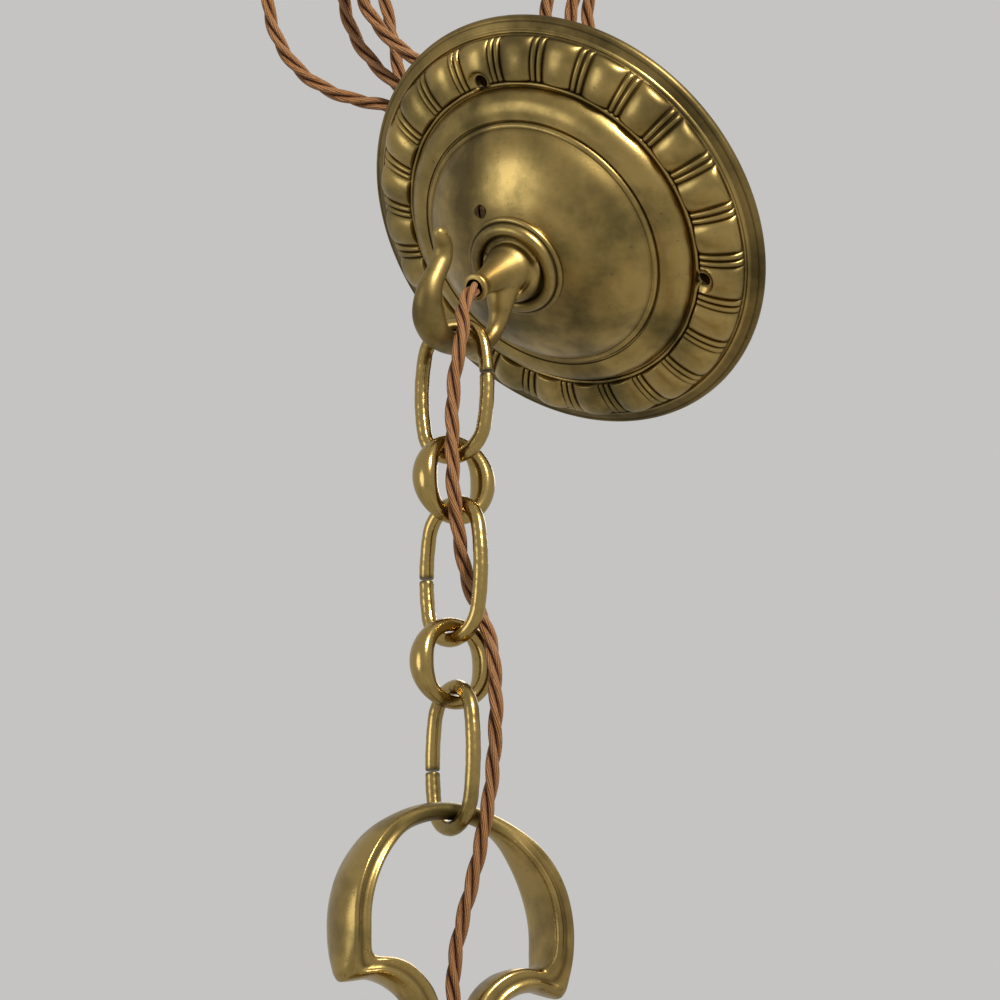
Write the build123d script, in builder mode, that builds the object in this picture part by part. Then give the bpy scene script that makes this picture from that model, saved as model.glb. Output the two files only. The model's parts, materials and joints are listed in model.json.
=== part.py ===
from build123d import *
import os
from math import atan2, cos, pi, radians, sin, tan

# Six-arm brass chandelier, in millimetres, +Z up.
# The origin is the ceiling plate's hanging hole, on the plate's front face.
# The plate hangs from that hole and leans out of the wall plane; the chain hangs plumb from its hook.

# Ceiling plate: radii are from its own axis, heights from the plane of its rim
plate_lean = 48.9
plate_heading = -132.0
hole_turn = -1.5
plate_r = 76.0
plate_wall = 2.4
rim_w = 4.8
rim_edge = 1.2
rim_h = 3.4
band_crown = 2.4
band_in_r = 55.8
band_h = 10.2
fillet_w = 1.0
ovolo_h = 17.4
ovolo_bulge = 1.3
bead_r = 44.8
bead_h = 1.3
dome_h = 34.4
dome_bulge = 1.4
crown_r = 17.5
pad_count = 24
pad_arc = 9.8
pad_rise = 1.6
pad_margin = 1.6
screw_circle_r = 57.8
screw_hole_r = 2.5
screw_boss_r = 5.5
screw_boss_top = 10.6
screw_bore_length = 7.3
screw_count = 3
hanging_h = 10.3

# Hook and its fixings, on the plate's axis
tail_r = 6.4
tail_length = 20.2
tail_play = 0.6
collar_h = 1.8
collar_r = 17.9
collar_step = 1.5
collar_bulge = 1.0
shoulder_r = 11.2
shoulder_h = 2.6
washer_r = 15.0
washer_t = 1.6
nut_flats = 22.0
nut_t = 7.0
thread_play = 0.05
grub_r = 2.2
grub_angle = 12.0
grub_from_axis = 21.6
grub_depth = 3.0

# The hook lies in a plane through the plate's axis: u along the axis, v to its side
hook_turn = 157.5
throat_u = 60.5
throat_v = -9.6
throat_r = 20.5
load_angle = 46.64
load_rod_r = 2.8
spout = [(0.2, -1.0, 9.0), (5.2, -1.8, 7.2), (11.2, -2.8, 5.6), (17.2, -3.6, 4.4), (21.7, -4.2, 3.7)]
hook_root = [(6.2, 1.0, 4.6), (8.2, 6.0, 3.8), (10.7, 11.0, 3.2)]
# Angle about the throat, gap outside the throat circle, rod radius
hook_arm = [
    (107.0, 2.3, 2.9), (93.0, 3.2, 2.8), (75.0, 1.6, 2.8), (60.0, 0.4, 2.8), (load_angle, 0.0, load_rod_r),
    (33.0, 0.6, 3.8), (16.0, 2.5, 5.0), (3.0, 2.8, 5.2), (-9.4, 2.2, 4.2), (-22.7, 0.7, 3.2),
    (-37.4, -1.2, 2.8), (-50.0, -0.6, 3.0), (-54.0, 2.0, 3.1),
]
flex_bore_r = 2.9

# Chain of oval links and round rings
link_rod_r = 2.375
link_length = 45.05
link_half_w = 12.0
link_bow = 1.0
link_turns = [-27.0, -43.0, -57.0]
saw_cut = 1.0
ring_r = 14.8
ring_rod_r = 2.15
ring_side_t = 3.5
ring_side_w = 4.75
ring_turns = [35.0, 29.0]
chain_play = 0.3

# Top loop: a flat-hammered stirrup with reversed scroll ends
loop_turn = 29.0
loop_mid_r = 38.0
loop_top_t = 2.75
loop_top_w = 3.0
loop_side_t = 4.5
loop_side_w = 9.5
scroll_w = 6.5

# Stem below the loop, one turned piece under another
base_drop = 26.3
base_h = 20.0
base_neck_r = 8.5
base_bead_r = 15.0
base_foot_r = 10.0
flex_hole_r = 3.4
stem_r = 5.0
stem_engage = 18.0
slip_play = 0.1
vase_h = 60.0
vase_r = 24.0
vase_neck_r = 9.0
knop_h = 28.0
knop_r = 30.0
knop_lobe_count = 20
knop_lobe_r = 2.2
column_h = 80.0
column_r = 11.0
reed_count = 16
reed_r = 1.3
lower_knop_h = 16.0
lower_knop_r = 18.0
hub_h = 44.0
hub_r = 34.0
hub_cavity_r = 26.0
hub_top_t = 6.0
arm_drop = 22.0
bar_t = 4.0
bar_w = 14.0
bowl_h = 40.0
bowl_r = 44.0
bowl_wall = 2.0
bowl_lobe_count = 24
bowl_lobe_r = 2.6
bowl_foot_r = 10.0
finial_h = 50.0
finial_r = 14.0
finial_rod_r = 3.0
terminal_l = 20.0
terminal_w = 12.0
terminal_h = 14.0
terminal_drop = 12.0

# Arms and lights
arm_count = 6
arm_turn = 15.0
arm_tube_r = 6.0
arm_bore_r = 3.6
arm_start = 20.0
arm_straight = 40.0
arm_dip_r = 55.0
arm_dip = 30.0
arm_sweep_r = 115.0
arm_sweep = 75.0
arm_rise_r = 40.0
arm_rise = 45.0
arm_stub = 4.0
arm_fit = 0.05
scroll_start = 0.42
scroll_rod_r = 3.0
scroll_radii = [34.0, 20.0, 10.0]
scroll_arcs = [100.0, 120.0, 150.0]
scroll_ball_r = 5.0
scroll_sink = 1.2
boss_r = 9.0
boss_h = 8.0
socket_depth = 6.0
nipple_r = 5.0
nipple_bore_r = 2.2
arm_nut_flats = 17.0
arm_nut_t = 3.4
wire_r = 1.6
wire_inner_r = 16.0
wire_top = 50.0
pan_r = 34.0
pan_seat_r = 14.0
pan_t = 2.0
pan_lip = 6.0
cup_h = 24.0
cup_r = 15.0
cup_foot_r = 8.0
cup_floor = 5.0
sleeve_r = 12.2
sleeve_wall = 0.9
sleeve_h = 90.0
holder_r = 10.8
holder_h = 44.0
holder_sink = 2.0
lamp_bore_r = 6.95
lamp_bore_depth = 22.0

# Flex: three braided cores twisted together
flex_d = 5.2
core_d = 2.45
tail_end_length = 14.0
tail_end_d = 1.6

# Frame of the ceiling plate
lean = radians(plate_lean)
heading = radians(plate_heading)
plate_normal = Vector(sin(lean) * cos(heading), sin(lean) * sin(heading), -cos(lean))
up_slope = Vector(cos(lean) * cos(heading), cos(lean) * sin(heading), sin(lean))
across = plate_normal.cross(up_slope)


def plate_direction(angle):
    return up_slope * cos(radians(angle)) + across * sin(radians(angle))


hole_direction = plate_direction(hole_turn)
plate_centre = (hole_direction * screw_circle_r + plate_normal * hanging_h) * -1
plate_axis = Axis(plate_centre, plate_normal)
plate_plane = Plane(origin=plate_centre, x_dir=hole_direction, z_dir=plate_normal)


# Section plane through the plate's axis: local x outwards, local y along the axis
def plate_section(angle):
    outwards = plate_direction(hole_turn + angle)
    return Plane(origin=plate_centre, x_dir=outwards, z_dir=outwards.cross(plate_normal))


hook_side = plate_direction(hook_turn)
hook_normal = plate_normal.cross(hook_side)

# Heights along the plate's axis
collar_top = dome_h + collar_h
shoulder_top = collar_top + shoulder_h
washer_base = dome_h - plate_wall - washer_t
nut_base = washer_base - nut_t
tail_end = collar_top - tail_length

# The chain hangs plumb under the hook's load point
throat = plate_centre + plate_normal * throat_u + hook_side * throat_v
load_way = plate_normal * cos(radians(load_angle)) + hook_side * sin(radians(load_angle))
load_point = throat + load_way * (throat_r + load_rod_r)
axis_x, axis_y = load_point.X, load_point.Y
ring_mid_r = ring_r - ring_rod_r
grip = link_rod_r + ring_rod_r + chain_play
link_tops, link_feet, ring_tops, ring_feet = [], [], [], []
next_top = load_point.Z + load_rod_r + link_rod_r + chain_play
for place in range(len(link_turns)):
    link_tops.append(next_top)
    link_feet.append(next_top - link_length)
    if place < len(ring_turns):
        ring_tops.append(link_feet[place] + grip)
        ring_feet.append(ring_tops[place] - 2 * ring_mid_r)
        next_top = ring_feet[place] + grip
loop_top = link_feet[-1] + link_rod_r + loop_top_t + chain_play
loop_z = loop_top - loop_mid_r

# Heights of the stem's pieces
base_z = loop_z - base_drop
vase_z = base_z - base_h
knop_z = vase_z - vase_h
column_z = knop_z - knop_h
lower_knop_z = column_z - column_h
hub_z = lower_knop_z - lower_knop_h
arm_z = hub_z - arm_drop
bowl_z = hub_z - hub_h
finial_z = bowl_z - bowl_h
stem_axis = Axis((axis_x, axis_y, 0), (0, 0, 1))


# Upright plane on the chain's axis: local x level at the given turn, local y up
def upright(turn, reach=0.0):
    way = Vector(cos(radians(turn)), sin(radians(turn)), 0)
    return Plane(origin=Vector(axis_x, axis_y, 0) + way * reach, x_dir=way, z_dir=way.cross(Vector(0, 0, 1)))


def level(height):
    return Plane(origin=(axis_x, axis_y, height), x_dir=(1, 0, 0), z_dir=(0, 0, 1))


os.makedirs("parts", exist_ok=True)

# Ceiling plate: rim, lobed band, ovolo, bead and dome, spun from one sheet
band_out_r = plate_r - rim_w
band_mid = ((band_out_r + band_in_r) / 2, (rim_h + band_h) / 2 + band_crown)
ovolo_out = (band_in_r - fillet_w, band_h)
ovolo_mid_r = (ovolo_out[0] + bead_r) / 2 + ovolo_bulge
ovolo_mid_h = (band_h + ovolo_h) / 2 + ovolo_bulge
dome_foot = (bead_r - 2 * bead_h, ovolo_h + bead_h)
dome_mid = ((dome_foot[0] + crown_r) / 2 + dome_bulge, (dome_foot[1] + dome_h) / 2 + dome_bulge)
plate_hole_r = tail_r + tail_play

with BuildPart() as ceiling_plate:
    with BuildSketch(plate_section(0)):
        with BuildLine():
            Polyline((plate_r - plate_wall, 0), (plate_r, 0), (plate_r, rim_edge), (band_out_r, rim_h))
            ThreePointArc((band_out_r, rim_h), band_mid, (band_in_r, band_h))
            Polyline((band_in_r, band_h), (band_in_r, band_h + 0.7), (ovolo_out[0], band_h + 0.7), ovolo_out)
            ThreePointArc(ovolo_out, (ovolo_mid_r, ovolo_mid_h), (bead_r, ovolo_h))
            Polyline((bead_r, ovolo_h), (bead_r - 0.5 * bead_h, ovolo_h + bead_h), dome_foot)
            ThreePointArc(dome_foot, dome_mid, (crown_r, dome_h))
            Polyline(
                (crown_r, dome_h),
                (plate_hole_r, dome_h),
                (plate_hole_r, dome_h - plate_wall),
                (crown_r - 0.5, dome_h - plate_wall),
                ((crown_r + dome_foot[0]) / 2, (dome_foot[1] + dome_h) / 2 - plate_wall),
                (dome_foot[0] - 1.0, dome_foot[1] - plate_wall),
                (bead_r - 1.0, ovolo_h - plate_wall),
                (ovolo_out[0] - plate_wall, band_h - 0.7 * plate_wall),
                (band_in_r - 0.6, band_h - 1.2 * plate_wall),
                (plate_r - plate_wall, 0),
            )
        make_face()
    revolve(axis=plate_axis)
    # Raised pads round the band, one of them centred on each screw hole
    pad_out = (band_out_r - pad_margin, rim_h)
    pad_in = (band_in_r + pad_margin, band_h)
    for pad in range(pad_count):
        with BuildSketch(plate_section(pad * 360 / pad_count - pad_arc / 2)):
            with BuildLine():
                ThreePointArc(pad_out, (band_mid[0], band_mid[1] + pad_rise), pad_in)
                Line(pad_in, pad_out)
            make_face()
        revolve(axis=plate_axis, revolution_arc=pad_arc)
    with BuildSketch(plate_plane.offset(screw_boss_top - screw_bore_length)):
        with PolarLocations(screw_circle_r, screw_count):
            Circle(screw_boss_r)
    extrude(amount=screw_bore_length)
    with BuildSketch(plate_plane.offset(screw_boss_top)):
        with PolarLocations(screw_circle_r, screw_count):
            Circle(screw_boss_r - 0.5)
    extrude(amount=2 * pad_rise, mode=Mode.SUBTRACT)
    with BuildSketch(plate_plane):
        with PolarLocations(screw_circle_r, screw_count):
            Circle(screw_hole_r)
    extrude(amount=dome_h, mode=Mode.SUBTRACT)
    # Tapped hole for the grub screw, square to the plate
    with BuildSketch(Plane(origin=plate_centre + plate_direction(grub_angle) * grub_from_axis, z_dir=plate_normal)):
        Circle(grub_r)
    extrude(amount=dome_h + 2, mode=Mode.SUBTRACT)
ceiling_plate.part.label = "ceiling_plate"
export_step(ceiling_plate.part, "parts/ceiling_plate.step")

# Grub screw beside the collar, slotted
grub_centre = plate_centre + plate_direction(grub_angle) * grub_from_axis
grub_top = dome_h - 0.6
with BuildPart() as plate_grub_screw:
    with BuildSketch(Plane(origin=grub_centre + plate_normal * (grub_top - grub_depth), z_dir=plate_normal)):
        Circle(grub_r - thread_play)
    extrude(amount=grub_depth)
    with BuildSketch(Plane(origin=grub_centre + plate_normal * (grub_top - 1), x_dir=hook_side, z_dir=plate_normal)):
        Rectangle(2 * grub_r + 1, 0.7)
    extrude(amount=2, mode=Mode.SUBTRACT)
plate_grub_screw.part.label = "plate_grub_screw"
export_step(plate_grub_screw.part, "parts/plate_grub_screw.step")

# Moulded collar between the dome and the hook's shoulder
with BuildPart() as hook_collar:
    with BuildSketch(plate_section(0)):
        with BuildLine():
            Polyline(
                (tail_r + tail_play, dome_h),
                (collar_r, dome_h),
                (collar_r, dome_h + collar_h / 2),
                (collar_r - collar_step, collar_top),
            )
            ThreePointArc(
                (collar_r - collar_step, collar_top),
                ((collar_r - collar_step + shoulder_r) / 2, collar_top + 2 * collar_bulge),
                (shoulder_r + 0.4, collar_top),
            )
            Polyline((shoulder_r + 0.4, collar_top), (tail_r + tail_play, collar_top), (tail_r + tail_play, dome_h))
        make_face()
    revolve(axis=plate_axis)
hook_collar.part.label = "hook_collar"
export_step(hook_collar.part, "parts/hook_collar.step")


# Round section square to a path in the hook's plane
def hook_station(path, place):
    before = path[max(place - 1, 0)]
    after = path[min(place + 1, len(path) - 1)]
    way = plate_normal * (after[0] - before[0]) + hook_side * (after[1] - before[1])
    centre = plate_centre + plate_normal * path[place][0] + hook_side * path[place][1]
    return Plane(origin=centre, x_dir=hook_normal, z_dir=way)


spout_path = [(shoulder_top + u, v, r) for u, v, r in spout]
arm_path = [(shoulder_top + u, v, r) for u, v, r in hook_root]
for angle, gap, rod in hook_arm:
    reach = throat_r + gap + rod
    arm_path.append((throat_u + reach * cos(radians(angle)), throat_v + reach * sin(radians(angle)), rod))
spout_mouth = plate_centre + plate_normal * spout_path[-1][0] + hook_side * spout_path[-1][1]
bore_start = plate_centre + plate_normal * (tail_end - 1) + hook_side * -0.2

# Hook: hollow threaded tail, shoulder, spout for the flex, and the arm that carries the chain
with BuildPart() as ceiling_hook:
    with BuildSketch(plate_plane.offset(tail_end)):
        Circle(tail_r)
    extrude(amount=tail_length)
    with BuildSketch(plate_plane.offset(collar_top)):
        Circle(shoulder_r)
    extrude(amount=shoulder_h)
    with BuildSketch(plate_plane.offset(shoulder_top)):
        Circle(spout_path[0][2] + 0.6)
    for place in range(1, len(spout_path)):
        with BuildSketch(hook_station(spout_path, place)):
            Circle(spout_path[place][2])
    loft()
    for place in range(len(arm_path)):
        with BuildSketch(hook_station(arm_path, place)):
            Circle(arm_path[place][2])
    loft()
    # Rounded tip
    tip = plate_centre + plate_normal * arm_path[-1][0] + hook_side * arm_path[-1][1]
    with Locations(tip):
        Sphere(arm_path[-1][2])
    bore_way = spout_mouth - bore_start
    with BuildSketch(Plane(origin=bore_start, z_dir=bore_way)):
        Circle(flex_bore_r)
    extrude(amount=bore_way.length + 4, mode=Mode.SUBTRACT)
ceiling_hook.part.label = "ceiling_hook"
export_step(ceiling_hook.part, "parts/ceiling_hook.step")

with BuildPart() as hook_washer:
    with BuildSketch(plate_plane.offset(washer_base)):
        Circle(washer_r)
        Circle(tail_r + tail_play, mode=Mode.SUBTRACT)
    extrude(amount=washer_t)
hook_washer.part.label = "hook_washer"
export_step(hook_washer.part, "parts/hook_washer.step")

with BuildPart() as hook_nut:
    with BuildSketch(plate_plane.offset(nut_base)):
        RegularPolygon(nut_flats / 2, 6, major_radius=False)
        Circle(tail_r + thread_play, mode=Mode.SUBTRACT)
    extrude(amount=nut_t)
hook_nut.part.label = "hook_nut"
export_step(hook_nut.part, "parts/hook_nut.step")

# Spare flex behind the plate: a limp tail in loose loops, from the hook's bore to its bare ends.
# Its points are chosen by hand, each corner rounded by an arc as large as its two runs allow.
tail_points = [
    (21.4, 25.5, -46.8), (31.7, 38.0, -34.9), (35.9, 42.0, -18), (33.9, 36.0, -1), (27.9, 29.0, 15), (20.9, 24.0, 38),
    (27.9, 19.0, 54), (22.9, 14.0, 74), (2.9, 14.0, 86), (-19.1, 18.0, 82), (-35.1, 22.0, 68), (-44.1, 27.0, 48),
    (-34.1, 31.0, 31), (-19.1, 34.0, 21), (-5.1, 38.0, 9), (8.9, 41.0, 5), (22.9, 42.0, 10), (29.9, 40.0, 24),
    (30.9, 36.0, 41), (36.9, 31.0, 62), (28.9, 27.0, 84), (6.9, 25.0, 100), (-17.1, 27.0, 104), (-39.1, 31.0, 92),
    (-49.1, 35.0, 70), (-49.1, 38.0, 49), (-44.1, 40.0, 33), (-34.1, 42.0, 21), (-15.1, 47.0, 7), (4.9, 53.0, -4),
    (25.9, 56.0, -5), (38.9, 54.0, 9), (38.9, 50.0, 28), (36.9, 44.0, 53), (42.9, 38.0, 68), (34.9, 34.0, 90),
    (12.9, 31.0, 110), (-15.1, 31.0, 118), (-45.1, 34.0, 110), (-67.1, 38.0, 90), (-76.1, 42.0, 59), (-74.1, 46.0, 40),
    (-64.1, 48.0, 24), (-48.1, 49.0, 15), (-31.1, 50.0, 13), (-11.1, 56.0, 2), (8.9, 62.0, -5), (26.9, 65.0, -10),
    (36.9, 67.0, -25), (32.4, 68.0, -42), (16.9, 69.0, -51), (-1.1, 70.0, -47), (-14.1, 69.0, -33), (-21.1, 67.0, -13),
    (-26.1, 64.0, 8), (-29.1, 61.0, 31), (-33.1, 57.0, 49), (-36.1, 53.0, 66), (-33.1, 49.0, 80), (-25.1, 45.0, 96),
]
chain_points = [
    (-4.4, -5.1, -77.4), (-5.7, -9.4, -84), (-5.2, -13.1, -91.5), (-6.7, -13.0, -99.5),
    (-8.3, -11.2, -109), (-8.8, -10.1, -121), (-8.7, -10.1, -133), (-8.3, -10.6, -145),
    (-7.1, -9.8, -156), (-5.3, -5.8, -166.5), (-2.9, -1.2, -176.5), (1.2, -2.2, -185.5),
    (4.1, -6.2, -194.5), (5.1, -7.2, -205), (5.5, -6.8, -217), (4.9, -5.6, -230), (3.5, -4.6, -243),
    (1.3, -4.2, -255.5), (-1.4, -3.8, -268), (-4.5, -3.2, -280), (-7.0, -2.8, -291),
]


# Arc radius at each corner of a route: 0.45 of the shorter run over the tangent of half the turn
def corner_radii(points):
    radii = []
    for before, here, after in zip(points, points[1:], points[2:]):
        first = Vector(*here) - Vector(*before)
        second = Vector(*after) - Vector(*here)
        turn = radians(first.get_angle(second))
        radii.append(0.45 * min(first.length, second.length) / tan(turn / 2))
    return radii


# Least gap between stretches of one route that are further apart along it than a few diameters
def least_self_gap(wire, length, diameter):
    steps = int(length / 2)
    points = [wire.position_at(step / steps) for step in range(steps + 1)]
    apart = int(6 * diameter / 2)
    gaps = [
        (points[i] - points[j]).length - diameter
        for i in range(len(points)) for j in range(i + apart, len(points))
    ]
    return min(gaps)


def report_route(name, wire, points, solid):
    bends = corner_radii(points)
    share = solid.volume / (pi * flex_d ** 2 / 4 * wire.length)
    print(name, "length", round(wire.length), "least radius", round(min(bends), 1), "volume share", round(share, 3))
    print(name, "radii", [round(bend) for bend in bends])
    print(name, "least gap to itself", round(least_self_gap(wire, wire.length, flex_d), 2))


with BuildPart() as flex_tail:
    with BuildLine() as tail_line:
        FilletPolyline(*tail_points, radius=corner_radii(tail_points))
    with BuildSketch(Plane(origin=tail_line.wire() @ 0, z_dir=tail_line.wire() % 0)):
        Circle(flex_d / 2)
    sweep(path=tail_line.wire())
flex_tail.part.label = "flex_tail"
export_step(flex_tail.part, "parts/flex_tail.step")
report_route("flex_tail", tail_line.wire(), tail_points, flex_tail.part)

# Three bare wire ends at the tail's free end
end_place = tail_line.wire() @ 1
end_way = tail_line.wire() % 1
with BuildPart() as flex_tail_ends:
    with BuildSketch(Plane(origin=end_place, z_dir=end_way)):
        with PolarLocations(core_d / 3 ** 0.5, 3):
            Circle(tail_end_d / 2)
    extrude(amount=tail_end_length)
flex_tail_ends.part.label = "flex_tail_ends"
export_step(flex_tail_ends.part, "parts/flex_tail_ends.step")

# Flex down the chain and the stem to the terminal block: it is held all the way
flex_foot = hub_z - terminal_drop
chain_route = [tuple(spout_mouth), *chain_points, (axis_x, axis_y, base_z + 9), (axis_x, axis_y, flex_foot)]
with BuildPart() as chain_flex:
    with BuildLine() as chain_line:
        FilletPolyline(*chain_route, radius=corner_radii(chain_route))
    with BuildSketch(Plane(origin=chain_line.wire() @ 0, z_dir=chain_line.wire() % 0)):
        Circle(flex_d / 2)
    sweep(path=chain_line.wire())
chain_flex.part.label = "chain_flex"
export_step(chain_flex.part, "parts/chain_flex.step")
report_route("chain_flex", chain_line.wire(), chain_route, chain_flex.part)

# Oval chain links of round rod, each with its unsoldered saw cut
link_end_r = link_half_w - link_bow
link_reach = link_length / 2 - link_end_r
link_side_r = (link_half_w ** 2 + link_reach ** 2 - link_end_r ** 2) / (2 * link_bow)
side_slope = atan2(link_reach, link_side_r - link_half_w)
end_join = (link_end_r * cos(side_slope), link_reach + link_end_r * sin(side_slope))
end_mid_angle = (side_slope + pi / 2) / 2
end_mid = (link_end_r * cos(end_mid_angle), link_reach + link_end_r * sin(end_mid_angle))
cut_places = [(1, -18.3), (-1, -23.6), (-1, -24.9)]
for place, turn in enumerate(link_turns):
    middle = Plane(
        origin=(axis_x, axis_y, (link_tops[place] + link_feet[place]) / 2),
        x_dir=(cos(radians(turn)), sin(radians(turn)), 0),
        z_dir=(sin(radians(turn)), -cos(radians(turn)), 0),
    )
    cut_side, cut_from_top = cut_places[place]
    with BuildPart() as link:
        with BuildLine(middle) as half:
            ThreePointArc((0, link_length / 2), end_mid, end_join)
            ThreePointArc(end_join, (link_half_w, 0), (end_join[0], -end_join[1]))
            ThreePointArc((end_join[0], -end_join[1]), (end_mid[0], -end_mid[1]), (0, -link_length / 2))
        with BuildSketch(Plane(origin=half.wire() @ 0, z_dir=half.wire() % 0)):
            Circle(link_rod_r)
        sweep(path=half.wire())
        mirror(about=Plane(origin=middle.origin, z_dir=middle.x_dir))
        with BuildSketch(middle):
            with Locations((cut_side * link_half_w, link_length / 2 + cut_from_top)):
                Rectangle(4 * link_rod_r, saw_cut)
        extrude(amount=2 * link_rod_r, both=True, mode=Mode.SUBTRACT)
    link.part.label = f"link_{place + 1}"
    export_step(link.part, f"parts/link_{place + 1}.step")


# Half-thicknesses of a ring's section, from its round top to its broad cheeks
def ring_section(angle):
    swell = sin(radians(angle)) ** 2
    return ring_rod_r + (ring_side_t - ring_rod_r) * swell, ring_rod_r + (ring_side_w - ring_rod_r) * swell


for place, turn in enumerate(ring_turns):
    way = Vector(cos(radians(turn)), sin(radians(turn)), 0)
    centre = Vector(axis_x, axis_y, (ring_tops[place] + ring_feet[place]) / 2)
    with BuildPart() as ring:
        for step in range(9):
            angle = 22.5 * step
            thick, broad = ring_section(angle)
            outwards = way * sin(radians(angle)) + Vector(0, 0, 1) * cos(radians(angle))
            along = way * cos(radians(angle)) - Vector(0, 0, 1) * sin(radians(angle))
            with BuildSketch(Plane(origin=centre + outwards * (ring_r - thick), x_dir=outwards, z_dir=along)):
                Ellipse(thick, broad)
        loft()
        mirror(about=Plane(origin=centre, z_dir=way))
    ring.part.label = f"ring_{place + 1}"
    export_step(ring.part, f"parts/ring_{place + 1}.step")

# Turned base that the loop's scrolls stand on; the flex goes down through it
base_profile = [
    (flex_hole_r, base_z), (base_neck_r, base_z), (base_neck_r, base_z - 0.2 * base_h),
    (base_bead_r - 2, base_z - 0.3 * base_h), (base_bead_r, base_z - 0.45 * base_h),
    (base_bead_r - 2, base_z - 0.6 * base_h), (base_foot_r, base_z - 0.7 * base_h), (base_foot_r, vase_z),
    (stem_r + thread_play, vase_z), (stem_r + thread_play, vase_z + stem_engage), (flex_hole_r, vase_z + stem_engage),
]
with BuildPart() as loop_base:
    with BuildSketch(upright(0)):
        with BuildLine():
            Polyline(*base_profile, close=True)
        make_face()
    revolve(axis=stem_axis)
loop_base.part.label = "loop_base"
export_step(loop_base.part, "parts/loop_base.step")

# Filled blank of the base, cut out of the scrolls so that they sit on it
with BuildPart() as base_blank:
    with BuildSketch(upright(0)):
        with BuildLine():
            Polyline((0, base_z), *base_profile[1:8], (0, vase_z), close=True)
        make_face()
    revolve(axis=stem_axis)


# Half-thickness and half-width of the loop's section: thin and round on top, broad at the sides
def loop_section(angle):
    swell = sin(radians(min(angle, 90))) ** 2
    return loop_top_t + (loop_side_t - loop_top_t) * swell, loop_top_w + (loop_side_w - loop_top_w) * swell


# Reversed scroll, from the loop's cusp inwards and down to the base: reach, height, thickness, width
scroll_run = [
    (0.95 * loop_mid_r, -11.3, 3.4, 1.0), (0.70 * loop_mid_r, -11.9, 3.4, 1.0), (0.46 * loop_mid_r, -14.4, 3.3, 0.9),
    (0.30 * loop_mid_r, -20.4, 3.1, 0.8), (0.22 * loop_mid_r, -29.3, 3.0, 0.7), (0.22 * loop_mid_r, -34.3, 3.0, 0.7),
]
with BuildPart() as top_loop:
    loop_way = Vector(cos(radians(loop_turn)), sin(radians(loop_turn)), 0)
    loop_centre = Vector(axis_x, axis_y, loop_z)
    for step in range(8):
        angle = 16 * step
        thick, broad = loop_section(angle)
        outwards = loop_way * sin(radians(angle)) + Vector(0, 0, 1) * cos(radians(angle))
        along = loop_way * cos(radians(angle)) - Vector(0, 0, 1) * sin(radians(angle))
        with BuildSketch(Plane(origin=loop_centre + outwards * loop_mid_r, x_dir=outwards, z_dir=along)):
            Ellipse(thick, broad)
    loft()
    for place, (reach, rise, thick, share) in enumerate(scroll_run):
        before = scroll_run[max(place - 1, 0)]
        after = scroll_run[min(place + 1, len(scroll_run) - 1)]
        along = loop_way * (after[0] - before[0]) + Vector(0, 0, 1) * (after[1] - before[1])
        centre = loop_centre + loop_way * reach + Vector(0, 0, 1) * rise
        across_way = along.cross(loop_way.cross(Vector(0, 0, 1)))
        with BuildSketch(Plane(origin=centre, x_dir=across_way, z_dir=along)):
            Ellipse(thick, share * scroll_w)
    loft()
    mirror(about=Plane(origin=loop_centre, z_dir=loop_way))
    add(base_blank.part, mode=Mode.SUBTRACT)
    with BuildSketch(level(base_z - 1)):
        Circle(flex_hole_r)
    extrude(amount=base_drop, mode=Mode.SUBTRACT)
top_loop.part.label = "top_loop"
export_step(top_loop.part, "parts/top_loop.step")

# Threaded tube from the loop's base to the hub, which clamps the stem's turned pieces
stem_top = vase_z + stem_engage
stem_foot = hub_z - hub_top_t
with BuildPart() as stem_tube:
    with BuildSketch(level(stem_foot)):
        Circle(stem_r)
        Circle(flex_hole_r, mode=Mode.SUBTRACT)
    extrude(amount=stem_top - stem_foot)
stem_tube.part.label = "stem_tube"
export_step(stem_tube.part, "parts/stem_tube.step")

stem_clear = stem_r + slip_play


# Turned piece on the stem: an outer outline from its top down, bored for the tube.
# Lobes, if any, are upright rounds set in a circle, given as radius, count, lobe radius, foot and height.
def turned(outline, top, foot, lobes=None):
    with BuildPart() as piece:
        with BuildSketch(upright(0)):
            with BuildLine():
                Polyline((stem_clear, top), *outline, (stem_clear, foot), close=True)
            make_face()
        revolve(axis=stem_axis)
        if lobes:
            circle_r, count, lobe_r, lobe_foot, lobe_h = lobes
            with BuildSketch(level(lobe_foot)):
                with PolarLocations(circle_r, count):
                    Circle(lobe_r)
            extrude(amount=lobe_h)
    return piece


# Share of a height between a piece's top and foot
def between(top, height, share):
    return top - share * height


vase_outline = [
    (base_foot_r, vase_z), (vase_neck_r, between(vase_z, vase_h, 0.05)),
    (vase_neck_r + 2, between(vase_z, vase_h, 0.14)), (vase_r - 4, between(vase_z, vase_h, 0.24)),
    (vase_r, between(vase_z, vase_h, 0.36)), (vase_r - 3, between(vase_z, vase_h, 0.5)),
    (vase_neck_r + 3, between(vase_z, vase_h, 0.7)), (vase_neck_r, between(vase_z, vase_h, 0.86)),
    (vase_neck_r + 3, between(vase_z, vase_h, 0.93)), (vase_neck_r + 3, knop_z),
]
upper_vase = turned(vase_outline, vase_z, knop_z)
upper_vase.part.label = "upper_vase"
export_step(upper_vase.part, "parts/upper_vase.step")

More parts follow.
